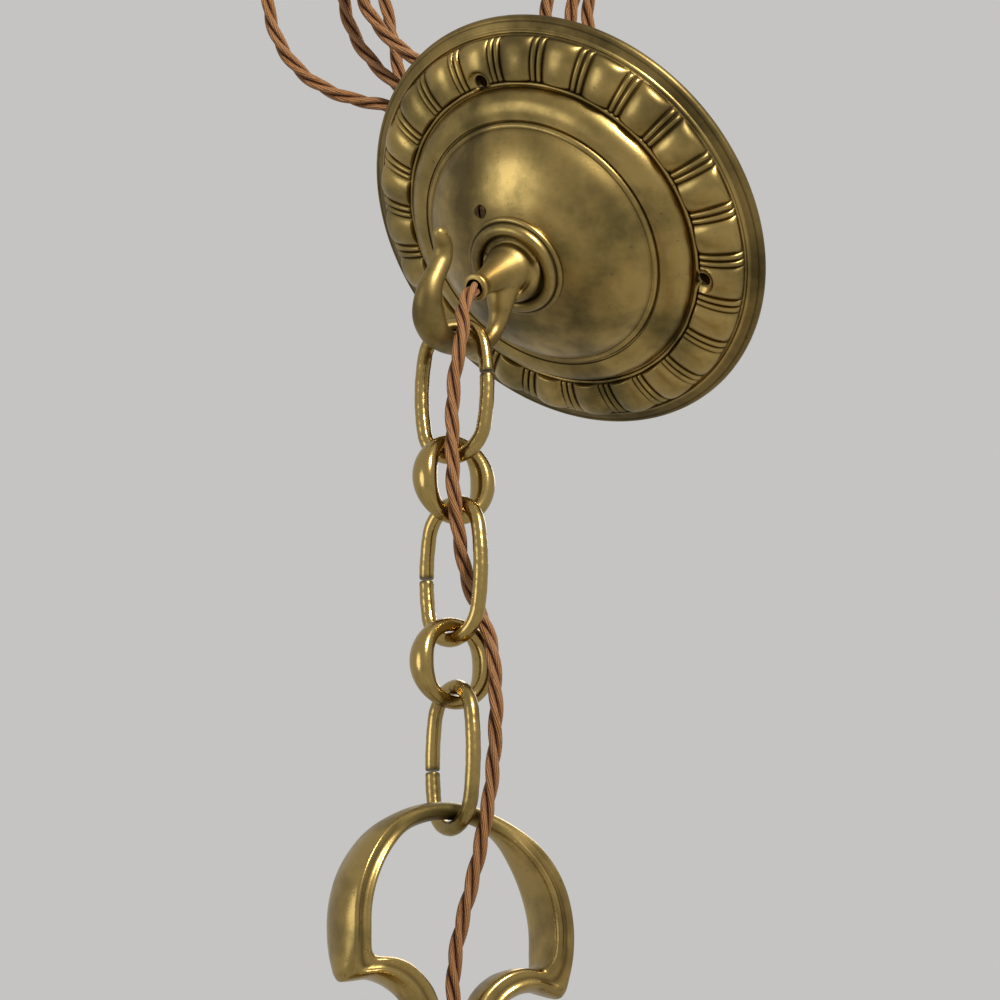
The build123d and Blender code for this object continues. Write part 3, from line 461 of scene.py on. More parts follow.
def spreadOf(tree, value, low, high, start=0.0, end=1.0):
    values = {"Value": value, "From Min": low, "From Max": high, "To Min": start, "To Max": end}
    return addNode(tree, "ShaderNodeMapRange", values).outputs["Result"]


def noiseOf(tree, where, scale, detail=4, rough=0.55, low=0.35, high=0.65):
    values = {"Vector": where, "Scale": scale, "Detail": detail, "Roughness": rough}
    return spreadOf(tree, addNode(tree, "ShaderNodeTexNoise", values).outputs["Fac"], low, high)


def attributeOf(tree, name):
    return addNode(tree, "ShaderNodeAttribute", attribute_name=name).outputs["Fac"]


def bumpOf(tree, height, strength, distance=0.0002):
    values = {"Height": height, "Strength": strength, "Distance": distance}
    return addNode(tree, "ShaderNodeBump", values).outputs["Normal"]


# Old lacquered brass: rubbed golden, olive and brown where it has tarnished, black-brown in the hollows as
# grime and painted shade
brass = {
    "rubbed": (0.41, 0.288, 0.098), "olive": (0.155, 0.12, 0.041), "brown": (0.08, 0.048, 0.021),
    "hollow": (0.03, 0.018, 0.008), "hollowShare": 0.85,
    "cloudScale": 34, "stainScale": 19, "speckScale": 520, "rubScale": 1300, "bump": 0.12,
}


def agedBrass(name, tarnish, brown, gloss):
    material, tree, shader = newMaterial(name)
    where = addNode(tree, "ShaderNodeTexCoord").outputs["Object"]
    cloud = noiseOf(tree, where, brass["cloudScale"], 5, 0.6, 0.62 - 0.3 * tarnish, 0.86 - 0.3 * tarnish)
    stain = noiseOf(tree, where, brass["stainScale"], 4, 0.65, 0.66 - 0.3 * brown, 0.9 - 0.3 * brown)
    speck = noiseOf(tree, where, brass["speckScale"], 3, 0.6, 0.64, 0.86)
    rub = noiseOf(tree, where, brass["rubScale"], 2, 0.5, 0.3, 0.7)
    colour = blendColour(tree, brass["rubbed"], brass["olive"], cloud)
    for share in (stain, speck):
        colour = blendColour(tree, colour, brass["brown"], share)
    # Hollows turned black-brown: grime and painted shade
    dark = reckon(tree, "MULTIPLY", attributeOf(tree, "grime"), brass["hollowShare"])
    rough = spreadOf(tree, cloud, 0, 1, gloss - 0.04, gloss + 0.14)
    setInputs(tree, shader, {
        "Base Color": blendColour(tree, colour, brass["hollow"], dark), "Metallic": 1.0,
        "Roughness": reckon(tree, "MULTIPLY_ADD", dark, 0.25, rough),
        "Normal": bumpOf(tree, blendColour(tree, rub, speck, 0.5), brass["bump"]),
    })
    return material


# Copper-brown silk braid: two families of threads that cross over each core
braid = {
    "dark": (0.14, 0.05, 0.012), "light": (0.35, 0.16, 0.046), "faded": (0.38, 0.20, 0.10),
    "gap": (0.1, 0.03, 0.007),
    "threads": [(9, 0.0042), (-6, 0.0013)], "second": 0.35, "level": (-1.1, 0.9), "fade": 0.35,
    "gapFrom": 0.00135, "gapTo": 0.0021, "bump": 0.7, "bumpDistance": 0.0003,
}


def braidedSilk():
    material, tree, shader = newMaterial("braidedSilk")
    around, along = attributeOf(tree, "around"), attributeOf(tree, "along")
    waves = []
    for turns, pitch in braid["threads"]:
        slant = reckon(tree, "MULTIPLY", around, 2 * pi * turns)
        waves.append(reckon(tree, "SINE", reckon(tree, "MULTIPLY_ADD", along, 2 * pi / pitch, slant)))
    weave = reckon(tree, "MULTIPLY_ADD", waves[1], braid["second"], waves[0])
    level = spreadOf(tree, weave, *braid["level"])
    colour = blendColour(tree, braid["dark"], braid["light"], level)
    cloud = noiseOf(tree, addNode(tree, "ShaderNodeTexCoord").outputs["Object"], 90, 3)
    colour = blendColour(tree, colour, braid["faded"], reckon(tree, "MULTIPLY", cloud, braid["fade"]))
    # Black-brown where the cores meet: painted shade between the cores
    lit = spreadOf(tree, attributeOf(tree, "away"), braid["gapFrom"], braid["gapTo"])
    setInputs(tree, shader, {
        "Base Color": blendColour(tree, braid["gap"], colour, lit),
        "Roughness": 0.6, "Specular IOR Level": 0.3,
        "Sheen Weight": 0.05, "Sheen Roughness": 0.4,
        "Normal": bumpOf(tree, level, braid["bump"], braid["bumpDistance"]),
    })
    return material


# Plain finishes with some life in them: two colours mixed by noise, and a fine bump
def plainFinish(name, light, dark, rough, metal=0.0, scale=60, coat=0.0, bump=0.08):
    material, tree, shader = newMaterial(name)
    where = addNode(tree, "ShaderNodeTexCoord").outputs["Object"]
    cloud = noiseOf(tree, where, scale, 5, 0.6)
    setInputs(tree, shader, {
        "Base Color": blendColour(tree, light, dark, cloud), "Metallic": metal, "Coat Weight": coat,
        "Roughness": spreadOf(tree, cloud, 0, 1, rough - 0.05, rough + 0.1),
        "Normal": bumpOf(tree, noiseOf(tree, where, 700, 2), bump),
    })
    return material


plateBrass = agedBrass("plateBrass", tarnish=0.7, brown=0.42, gloss=0.32)
chainBrass = agedBrass("chainBrass", tarnish=0.3, brown=0.3, gloss=0.24)
hookBrass = agedBrass("hookBrass", tarnish=0.65, brown=0.6, gloss=0.44)
loopBrass = agedBrass("loopBrass", tarnish=0.5, brown=0.45, gloss=0.3)
stemBrass = agedBrass("stemBrass", tarnish=0.45, brown=0.3, gloss=0.27)
silk = braidedSilk()
steel = plainFinish("dullSteel", (0.30, 0.28, 0.25), (0.17, 0.14, 0.11), 0.42, metal=1.0)
# Near-black brown for the grub screw: painted shade of the hole it sits in
screwHoleShade = plainFinish("umberBrass", (0.12, 0.075, 0.035), (0.05, 0.03, 0.014), 0.45, metal=1.0, scale=400)
copper = plainFinish("bareCopper", (0.72, 0.40, 0.26), (0.5, 0.26, 0.16), 0.35, metal=1.0, scale=300)
rubber = plainFinish("darkRubber", (0.05, 0.042, 0.036), (0.03, 0.026, 0.022), 0.6)
porcelain = plainFinish("glazedPorcelain", (0.80, 0.78, 0.72), (0.74, 0.71, 0.63), 0.2, coat=0.4)
ivoryCard = plainFinish("ivoryCard", (0.80, 0.73, 0.56), (0.70, 0.61, 0.43), 0.62, scale=25)
bakelite = plainFinish("darkBakelite", (0.035, 0.026, 0.02), (0.02, 0.016, 0.013), 0.3, coat=0.3)
print("materials made")


# Camera and studio

camera = {
    "place": (6.68, -1003.59, -433.3), "pitch": 16.0,
    "focalPixels": 3234.67, "framePixels": 1000, "sensor": 36.0,
}
studio = {
    "pale": (0.93, 0.92, 0.90, 1), "background": 0.6, "fill": 0.3, "fillColour": (0.95, 0.97, 1, 1),
    "floorGlow": 0.7, "floorDrop": 90.0, "floorSize": 5000.0,
    # Name, place, width in metres, power, colour
    "lights": [
        ("keyLight", (420, -760, 460), 0.24, 53, (1, 0.96, 0.9)),
        ("sideLight", (-900, -500, -150), 0.6, 8, (0.95, 0.97, 1)),
        ("backLight", (300, 900, 500), 0.8, 19, (1, 0.96, 0.9)),
    ],
}


def makeCamera():
    data = bpy.data.cameras.new("camera")
    data.sensor_width = camera["sensor"]
    data.lens = camera["focalPixels"] / camera["framePixels"] * camera["sensor"]
    data.clip_start = 0.01
    eye = addObject("camera", data)
    eye.location = Vector(camera["place"]) * mm
    eye.rotation_euler = (radians(90 + camera["pitch"]), 0, 0)
    bpy.context.scene.camera = eye


def softLight(name, place, width, power, colour):
    data = bpy.data.lights.new(name, "POINT")
    data.shadow_soft_size = width / 2
    data.energy = power
    data.color = colour
    addObject(name, data).location = Vector(place) * mm


# Rays that see the studio itself: from the camera, from metal and through glass
def seenRays(tree):
    rays = addNode(tree, "ShaderNodeLightPath").outputs
    straight = reckon(tree, "MAXIMUM", rays["Is Camera Ray"], rays["Is Glossy Ray"])
    return reckon(tree, "MAXIMUM", straight, rays["Is Transmission Ray"])


def mixShaders(tree, share, first, second):
    return addNode(tree, "ShaderNodeMixShader", {0: share, 1: first, 2: second}).outputs[0]


# The floor glows a little to what looks at it, so that it stays evenly pale, and is clear from below
def floorFinish():
    material = plainFinish("paleFloor", (0.62, 0.61, 0.59), (0.58, 0.57, 0.55), 0.8, scale=3, bump=0.02)
    tree = material.node_tree
    surface = tree.nodes["Material Output"].inputs["Surface"]
    plain = surface.links[0].from_socket
    pale = addNode(tree, "ShaderNodeEmission", {"Color": studio["pale"], "Strength": studio["background"]})
    share = reckon(tree, "MULTIPLY", seenRays(tree), studio["floorGlow"])
    top = mixShaders(tree, share, plain, pale.outputs[0])
    clear = addNode(tree, "ShaderNodeBsdfTransparent").outputs[0]
    under = addNode(tree, "ShaderNodeNewGeometry").outputs["Backfacing"]
    tree.links.new(mixShaders(tree, under, top, clear), surface)
    return material


def makeStudio():
    world = bpy.data.worlds.new("studio")
    world.use_nodes = True
    bpy.context.scene.world = world
    tree = world.node_tree
    seen = tree.nodes["Background"]
    setInputs(tree, seen, {"Color": studio["pale"], "Strength": studio["background"]})
    fill = addNode(tree, "ShaderNodeBackground", {"Color": studio["fillColour"], "Strength": studio["fill"]})
    shown = mixShaders(tree, seenRays(tree), fill.outputs[0], seen.outputs[0])
    tree.links.new(shown, tree.nodes["World Output"].inputs["Surface"])
    low = footOf("finial") - studio["floorDrop"]
    half = studio["floorSize"] / 2
    corners = np.array([(-half, -half, low), (half, -half, low), (half, half, low), (-half, half, low)])
    floor = makeMesh("floor", [(corners, [[0, 1, 2, 3]], np.zeros(4))])
    if floor.data.polygons[0].normal.z < 0:
        floor.data.flip_normals()
    paint(floor, floorFinish())
    for light in studio["lights"]:
        softLight(*light)
    bpy.context.scene.view_settings.view_transform = "Standard"


makeCamera()
makeStudio()
print("camera and studio made")


# Flex: three silk-covered cores twisted together, in two lengths that leave the hook's bore

flex = {
    "diameter": 5.2, "wound": 4.9, "core": 2.25, "lay": 35.0, "step": 1.1, "tailLength": 1220.0,
    "spout": (-1.53, -1.84, -73.65), "firstEnd": (-7.53, -11.84, -100),
    "firstCut": -112.0, "lastBend": -303.0,
}
tailPoints = [
    (21.4, 25.5, -46.8), (31.7, 38.0, -34.9), (35.9, 42.0, -18), (33.9, 36.0, -1), (27.9, 29.0, 15),
    (20.9, 24.0, 38), (27.9, 19.0, 54), (22.9, 14.0, 74), (2.9, 14.0, 86), (-19.1, 18.0, 82),
    (-35.1, 22.0, 68), (-44.1, 27.0, 48), (-34.1, 31.0, 31), (-19.1, 34.0, 21), (-5.1, 38.0, 9),
    (8.9, 41.0, 5), (22.9, 42.0, 10), (29.9, 40.0, 24), (30.9, 36.0, 41), (36.9, 31.0, 62), (28.9, 27.0, 84),
    (6.9, 25.0, 100), (-17.1, 27.0, 104), (-39.1, 31.0, 92), (-49.1, 35.0, 70), (-49.1, 38.0, 49),
    (-44.1, 40.0, 33), (-34.1, 42.0, 21), (-15.1, 47.0, 7), (4.9, 53.0, -4), (25.9, 56.0, -5),
    (38.9, 54.0, 9), (38.9, 50.0, 28), (36.9, 44.0, 53), (42.9, 38.0, 68), (34.9, 34.0, 90),
    (12.9, 31.0, 110), (-15.1, 31.0, 118), (-45.1, 34.0, 110), (-67.1, 38.0, 90), (-76.1, 42.0, 59),
    (-74.1, 46.0, 40), (-64.1, 48.0, 24), (-48.1, 49.0, 15), (-31.1, 50.0, 13), (-11.1, 56.0, 2),
    (8.9, 62.0, -5), (26.9, 65.0, -10), (36.9, 67.0, -25), (32.4, 68.0, -42), (16.9, 69.0, -51),
    (-1.1, 70.0, -47), (-14.1, 69.0, -33), (-21.1, 67.0, -13), (-26.1, 64.0, 8), (-29.1, 61.0, 31),
    (-33.1, 57.0, 49), (-36.1, 53.0, 66), (-33.1, 49.0, 80), (-25.1, 45.0, 96),
]
chainPoints = [
    flex["spout"],
    (-4.4, -5.1, -77.4), (-5.7, -9.4, -84), (-5.2, -13.1, -91.5), (-6.7, -13.0, -99.5), (-8.3, -11.2, -109),
    (-8.8, -10.1, -121), (-8.7, -10.1, -133), (-8.3, -10.6, -145), (-7.1, -9.8, -156), (-5.3, -5.8, -166.5),
    (-2.9, -1.2, -176.5), (1.2, -2.2, -185.5), (4.1, -6.2, -194.5), (5.1, -7.2, -205), (5.5, -6.8, -217),
    (4.9, -5.6, -230), (3.5, -4.6, -243), (1.3, -4.2, -255.5), (-1.4, -3.8, -268), (-4.5, -3.2, -280),
    (-7.0, -2.8, -291),
    (axisX, axisY, flex["lastBend"]), (axisX, axisY, footOf("chain_flex")),
]


# Curve object through points in metres
def curveThrough(name, kind, points):
    curve = bpy.data.curves.new(name, "CURVE")
    curve.dimensions = "3D"
    spline = curve.splines.new(kind)
    spline.points.add(len(points) - 1)
    for control, place in zip(spline.points, points):
        control.co = (*place, 1)
    return addObject(name, curve)


# Points read from the route's own smooth spline, in metres
def routeLine(name, points):
    holder = curveThrough(name, "NURBS", [Vector(place) * mm for place in points])
    holder.data.resolution_u = 16
    holder.data.splines[0].order_u = 3
    holder.data.splines[0].use_endpoint_u = True
    bpy.context.view_layer.update()
    mesh = bpy.data.meshes.new_from_object(holder)
    line = np.array([vertex.co for vertex in mesh.vertices])
    bpy.data.objects.remove(holder)
    bpy.data.meshes.remove(mesh)
    return line


def twisted(name, line, start=0.0, end=1.0):
    holder = curveThrough(name + "Line", "POLY", line)
    giveTree(holder, twist, {
        "Core radius": flex["core"] / 2 * mm, "Twist radius": (flex["wound"] - flex["core"]) / 2 * mm,
        "Lay": flex["lay"] * mm, "Step": flex["step"] * mm, "From": start, "To": end, "Material": silk,
    })
    mesh = evaluated(holder)
    bpy.data.objects.remove(holder)
    return addObject(name, mesh)


def makeTail():
    line = routeLine("tailRoute", tailPoints)
    tail = twisted("flexTail", line)
    finishPiece(tail, silk, "ceiling_mount", ["flex_tail"], sharp=60)
    ends = cadNodes["flex_tail_ends"]
    paint(ends, copper)


# Down the chain: one piece for each joint that it passes, split midway along each rigid stretch
def makeChainFlex():
    line = routeLine("chainRoute", chainPoints)
    at = lengthAt(line)
    order = ["hook_swing", "ring_1_swing", "link_2_swing", "ring_2_swing", "link_3_swing", "chandelier_swing"]
    heights = [jointPlace(name).z for name in order]
    cuts = [(above + below) / 2 for above, below in zip(heights, heights[1:])] + [flex["lastBend"]]
    cuts[0] = flex["firstCut"]
    shares = [0.0] + [float(np.interp(-z * mm, -line[:, 2], at) / at[-1]) for z in cuts[:-1]] + [1.0]
    for k, name in enumerate(order):
        piece = twisted(f"chainFlex{k + 1}", line, shares[k], shares[k + 1])
        finishPiece(piece, silk, None, ["chain_flex"], sharp=60)
        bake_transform(piece)


makeTail()
makeChainFlex()
print("flex made")


# Ceiling plate: lobed band and dome, in the plate's own frame

band = {
    "pads": 24, "padHalf": 5.25, "padFrom": 56.45, "padTo": 70.1, "padRise": 2.3, "padRound": 2.4,
    "padInner": 0.8, "reedAt": 6.4, "reedHalf": 0.92, "reedRise": 1.35,
    "screwHole": 2.5, "dish": 4.6, "dishHeight": 10.0, "boss": 5.5, "bossFrom": 3.3, "bossTo": 9.4,
    "outline": [
        (73.6, 0), (75.9, 0), [(76, 0.7), (75.7, 1.7), (75, 2.3)], (74.4, 2.25), [(73.2, 2.9), (72, 3.3)],
        [(71.7, 3.9), (71.2, 4.1), (70.9, 3.6)],
        [(69.4, 5.2), (67, 7.2), (64, 8.6), (60.5, 9.5), (56.3, 9.8)],
        [(56.2, 10.7), (55.6, 11.1), (55, 10.7)], [(54.9, 10), (54.5, 9.9)], (54.4, 7.8),
        [(60, 7.2), (66, 5), (70.5, 1.5), (73.6, 0)],
    ],
}
dome = {
    "grubAngle": 13.5, "grubReach": 21.6, "grubRadius": 2.3,
    "outline": [
        (54.5, 9.9), [(54, 12.2), (52.2, 14.9), (49, 16.8), (45.6, 17.5)], [(45.2, 16.8), (44.8, 16.8)],
        [(44.5, 17.8), (43.9, 18.5), (43.2, 18.6)], (42.9, 18.5),
        [(40.2, 22), (36, 25.6), (31, 28.8), (25.5, 31.6), (20, 33.6), (16.5, 34.4)], (7, 34.4), (7, 32),
        [(16, 32), (24.8, 29.4), (30, 26.9), (35, 23.7), (39, 20.2), (41.6, 16.6)],
        [(44.8, 15), (48.4, 14.6), (51, 13), (52.4, 11), (52.8, 7.9)], [(54.4, 7.8), (54.5, 9.9)],
    ],
    "collar": [
        (7.2, 34.3), (17.6, 34.3), [(18, 34.8), (17.7, 35.6), (17, 35.9)], [(16.5, 35.8), (16.3, 36.1)],
        [(15.8, 37.4), (14.6, 38.2), (13.2, 38.2), (12.2, 37.4), (11.8, 36.4)], (7.2, 36.2), (7.2, 34.3),
    ],
}


# Height of pads and reeds over the band, from the radius and the angle from a pad's middle
def padRelief(radius, angle):
    outer = np.clip((band["padTo"] - radius) / band["padRound"], 0, 1)
    inner = np.clip((radius - band["padFrom"]) / band["padInner"], 0, 1)
    ends = np.sqrt(1 - (1 - outer) ** 2) * np.sqrt(1 - (1 - inner) ** 2)
    pillow = np.clip(1 - (np.abs(angle) / band["padHalf"]) ** 2.2, 0, 1) ** 0.6 * band["padRise"]
    reed = np.clip(1 - ((np.abs(angle) - band["reedAt"]) / band["reedHalf"]) ** 2, 0, 1) ** 0.5
    return (pillow + reed * band["reedRise"]) * ends


# Shallow dish round each screw hole
def pressDishes(mesh):
    for vertex in mesh.vertices:
        place = vertex.co / mm
        for hole in screwHoles:
            gap = (place.xy - Vector(hole[:2])).length
            if gap < band["dish"] and place.z > 9.0 and place.xy.length > 55.6:
                share = min(1, (band["dish"] - gap) / 1.2)
                target = band["dishHeight"] - 0.9 * max(0, 1 - gap / 3.6)
                vertex.co.z += (target - place.z) * share * mm if place.z > target else 0


# One sector with a pad and its reeds, then the whole ring of them
def makeBand():
    outline = moulding(band["outline"], 0.32)
    ways = waysOf(outline)
    pad = band["padHalf"] * np.sin(np.linspace(0, pi / 2, 9))
    reed = band["reedAt"] - band["reedHalf"] * np.cos(np.linspace(0, pi, 8))
    halfTurn = np.concatenate([pad, reed, [180 / band["pads"]]])
    angles = np.concatenate([-halfTurn[:0:-1], halfTurn])
    onTop = (outline[:, 1] > 3.5) & (np.arange(len(outline)) < len(outline) * 0.75)
    relief = padRelief(outline[:, :1], angles[None, :]) * onTop[:, None]
    radius = outline[:, :1] + np.abs(ways[:, 1:]) * relief
    height = outline[:, 1:] + np.abs(ways[:, :1]) * relief
    turn = np.radians(angles)[None, :]
    rows = np.stack([radius * np.cos(turn), radius * np.sin(turn), height + 0 * turn], -1)
    inBand = (outline[:, 0] > band["padFrom"] - 0.2) & (outline[:, 0] < band["padTo"] + 0.3) & onTop
    # Darker in the grooves between the pads and over the rim: grime and painted shade
    grime = np.clip(1 - relief / 0.6, 0, 1) * inBand[:, None] * 0.85
    bead = (np.abs(outline[:, :1] - 74.6) < 0.35) * (outline[:, 1:] > 1)
    grime = np.maximum(grime, (outline[:, :1] > 72.0) * (0.5 + 0.4 * bead))
    faces = gridFaces(*rows.shape[:2], False, False)
    piece = makeMesh("plateBand", [(rows.reshape(-1, 3), faces, grime.reshape(-1))])
    giveTree(piece, ringTree, {"Count": band["pads"], "Middle": (0, 0, 0), "Material": plateBrass})
    settle(piece)
    pressDishes(piece.data)
    for hole in screwHoles:
        boreHole(piece, hole, up, band["screwHole"], 16)
    return piece


# Boss that carries each screw hole on down behind the band
def makeBosses():
    inner, outer = band["screwHole"] - 0.02, band["boss"]
    low, high = band["bossFrom"], band["bossTo"]
    outline = np.array([
        (inner, low), (outer, low), (outer, high - 1.2), (inner + 0.5, high), (inner, high - 0.3),
    ])
    points, faces, grime = skin(spun(outline, 40), ends=False)
    # Walls down the screw holes darkened: grime and painted shade
    return makeMesh("plateBosses", [(points + hole, faces, grime + 0.5) for hole in screwHoles])


# Dirt and painted shade where an outline folds inwards
def foldGrimeAndShade(outline, low=0.02, high=0.22):
    ways = waysOf(outline)
    bend = np.gradient(np.unwrap(np.arctan2(ways[:, 1], ways[:, 0])))
    bend = np.convolve(bend, np.ones(3) / 3, "same")
    return np.clip((np.abs(bend) * (bend < 0) - low) / (high - low), 0, 1)[:, None]


def makeDome():
    outline = moulding(dome["outline"], 0.6)
    piece = makeMesh("plateDome", [skin(spun(outline, 240), ends=False, grime=0.3 * foldGrimeAndShade(outline))])
    turn, reach = radians(dome["grubAngle"]), dome["grubReach"]
    boreHole(piece, (reach * cos(turn), reach * sin(turn), 24), up, dome["grubRadius"], 16, 24)
    return piece


def makeCollar():
    outline = moulding(dome["collar"], 0.35)
    return makeMesh("hookCollar", [skin(spun(outline, 120), ends=False, grime=foldGrimeAndShade(outline))])


for make, node, sharp in (
    (makeBand, "ceiling_plate", 50), (makeBosses, "ceiling_plate", 50), (makeDome, "ceiling_plate", 38),
    (makeCollar, "hook_collar", 38),
):
    piece = make()
    moveInto(piece.data, plateFrame)
    finishPiece(piece, plateBrass, "ceiling_mount", [node], sharp)
print("ceiling plate made")


# Hook: spout for the flex and the arm that carries the chain, cast in one piece

hook = {
    "angle": 159.0,
    "spout": [
        (36.2, 0, 11.0), (37.0, 0, 11.3), (38.4, -0.2, 10.9), (39.2, -0.8, 9.3), (41.5, -1.3, 7.9),
        (44, -1.8, 6.8), (48, -2.5, 5.4), (52, -3.1, 4.5), (55.5, -3.5, 4.0), (57.6, -3.8, 3.9),
        (58.7, -3.95, 4.4), (59.8, -4.1, 4.7), (60.7, -4.2, 4.5), (61.1, -4.3, 3.9),
    ],
    "arm": [
        (40, -0.6, 7.3), (42.0, 1.2, 6.6), (44.2, 3.6, 5.8), (46.2, 7.0, 4.9), (48.2, 11.2, 3.7),
        (52.0, 15.1, 3.0), (59, 17, 2.8), (67, 14.5, 2.9), (75, 10, 3.3), (82.5, 4, 4.2), (87.3, -2, 5.0),
        (88.8, -8.4, 5.3), (87.5, -13.8, 4.6), (85.0, -17.2, 3.95), (80.9, -19.8, 3.5), (76.4, -22.9, 3.3),
        (75.0, -27.0, 3.05), (76.0, -30.4, 2.6), (76.7, -32.2, 2.0), (77.1, -33.3, 1.1),
    ],
    "bore": 3.1, "grain": 0.42,
}


# Hook's line in the plate's frame, from stations of height, reach and radius
def hookRod(stations, count):
    line = smoothLine(stations, count, 2)
    angle = radians(hook["angle"])
    points = np.stack([line[:, 1] * cos(angle), line[:, 1] * sin(angle), line[:, 0]], -1)
    return points, rod(points, line[:, 2], sides=32, start=(-sin(angle), cos(angle), 0))


def makeHook():
    line, spout = hookRod(hook["spout"], 60)
    piece = makeMesh("ceilingHook", [skin(spout), skin(hookRod(hook["arm"], 150)[1])])
    grain = piece.modifiers.new("grain", "REMESH")
    grain.mode = "VOXEL"
    grain.voxel_size = hook["grain"] * mm
    soft = piece.modifiers.new("soft", "SMOOTH")
    soft.factor = 0.5
    soft.iterations = 5
    settle(piece)
    way = Vector(line[-1] - line[-12]).normalized()
    boreHole(piece, Vector(line[-1]) - way * 16, way, hook["bore"], 24, 32)
    moveInto(piece.data, plateFrame)
    finishPiece(piece, hookBrass, "ceiling_mount", ["ceiling_hook"], sharp=50)


makeHook()
print("hook made")


# Chain: oval links with their saw cuts, and round rings with broad cheeks

chain = {
    "rod": 2.375, "length": 45.05, "half": 12.0, "bow": 1.0, "cut": 1.0, "stations": 220,
    "cuts": [(1, -18.3), (-1, -23.6), (-1, -24.9)],
    "ringRadius": 14.8, "ringRod": 2.15, "ringCheek": (3.5, 4.75),
}


def ovalLine(step=0.5):
    endRadius = chain["half"] - chain["bow"]
    reach = chain["length"] / 2 - endRadius
    sideRadius = (chain["half"] ** 2 + reach**2 - endRadius**2) / (2 * chain["bow"])
    lean = np.arctan2(reach, sideRadius - chain["half"])
    side = np.linspace(-lean, lean, int(2 * lean * sideRadius / step))
    end = np.linspace(lean, pi - lean, int((pi - 2 * lean) * endRadius / step))[1:-1]
    right = np.stack([chain["half"] - sideRadius + sideRadius * np.cos(side), sideRadius * np.sin(side)], -1)
    top = np.stack([endRadius * np.cos(end), reach + endRadius * np.sin(end)], -1)
    return np.vstack([right, top, -right, -top])


def makeLink(number, joint, cut):
    line = ovalLine()
    mark = np.array([cut[0] * chain["half"], chain["length"] / 2 + cut[1]])
    line = np.roll(line, -int(np.argmin(np.linalg.norm(line - mark, axis=1))), axis=0)
    line = np.vstack([line, line[:1]])
    at = lengthAt(line)
    keep = np.linspace(chain["cut"] / 2, at[-1] - chain["cut"] / 2, chain["stations"])
    edge = np.minimum(np.arange(chain["stations"]), np.arange(chain["stations"])[::-1])
    # Worn a little unevenly, and eased at the cut
    worn = chain["rod"] * (1 + 0.012 * np.sin(keep * 0.9 + number) + 0.008 * np.sin(keep * 2.3 + 2 * number))
    rows = rod(stood(pointsAt(line, at, keep)), worn * np.where(edge == 0, 0.93, 1), sides=28)
    # Darker next to the saw cut: grime and painted shade in the gap
    grime = (np.clip(1 - edge / 3, 0, 1) * 0.8)[:, None]
    place = frameAt(jointAxis(joint), up, (axisX, axisY, jointPlace(joint).z + chain["length"] / 2))
    piece = makeMesh(f"chainLink{number}", [skin(rows, grime=grime)], place)
    finishPiece(piece, chainBrass, f"link_{number}", [f"link_{number}"])


def makeRing(number, joint):
    turn = np.linspace(0, 2 * pi, 161)[:-1]
    swell = np.sin(turn) ** 2
    thick, broad = (chain["ringRod"] + (cheek - chain["ringRod"]) * swell for cheek in chain["ringCheek"])
    outwards = np.stack([np.sin(turn), 0 * turn, np.cos(turn)], -1)
    points = outwards * (chain["ringRadius"] - thick)[:, None]
    c, s = sectionRound(36, 0.94)
    rows = (
        points[:, None] + outwards[:, None] * (c[None] * thick[:, None])[..., None]
        + np.array([0, 1, 0]) * (s[None] * broad[:, None])[..., None]
    )
    middle = jointPlace(joint).z + chain["ringRadius"] - chain["ringRod"]
    place = frameAt(jointAxis(joint), up, (axisX, axisY, middle))
    piece = makeMesh(f"chainRing{number}", [skin(rows, closeAlong=True)], place)
    finishPiece(piece, chainBrass, f"ring_{number}", [f"ring_{number}"])


for k, joint in enumerate(("ring_1_swing", "ring_2_swing", "chandelier_swing")):
    makeLink(k + 1, joint, chain["cuts"][k])
for k, joint in enumerate(("link_2_swing", "link_3_swing")):
    makeRing(k + 1, joint)
print("chain made")


# Top loop: a hammered stirrup whose ends turn back as scrolls

loop = {
    "turn": 32.0, "across": 40.2, "above": 40.3,
    "topThick": 5.6, "sideThick": 7.4, "topDeep": 3.0, "sideDeep": 9.3,
    # Limb's foot and scroll: outer edge, inner edge, half depth, all from the loop's middle
    "heel": [
        (40.1, -4.0, 32.7, -3.4, 9.2), (39.9, -8.0, 32.4, -6.2, 8.7), (39.4, -12.4, 31.6, -8.4, 7.6),
        (38.6, -15.8, 30.4, -9.5, 6.4), (37.6, -17.0, 29.6, -9.9, 5.9), (35.9, -17.0, 28.6, -10.1, 5.8),
        (33.2, -16.6, 27.2, -10.2, 6.1), (29.2, -16.0, 25.0, -10.2, 6.6), (24.6, -16.7, 21.8, -10.4, 6.6),
        (20.9, -18.2, 18.2, -11.4, 6.5), (17.4, -20.6, 14.6, -13.3, 6.1), (14.8, -23.8, 11.2, -16.0, 5.7),
        (13.0, -27.4, 8.2, -19.6, 5.3), (12.0, -31.5, 6.0, -25.0, 4.9), (11.6, -34.5, 5.4, -31.0, 4.7),
    ],
}
# Section from the outer face round to the inner: place through the thickness, then half depth
limbSection = [
    (-0.2, 0.0), (-0.18, 0.3), (-0.12, 0.56), (-0.03, 0.77), (0.06, 0.91), (0.125, 0.985), (0.17, 1.0),
    (0.23, 0.99), (0.29, 0.95), (0.35, 0.925), (0.45, 0.915), (0.55, 0.92), (0.63, 0.945), (0.69, 0.985),
    (0.75, 1.0), (0.81, 0.99), (0.88, 0.93), (0.95, 0.8), (0.99, 0.6), (1.01, 0.3), (1.02, 0.0),
]


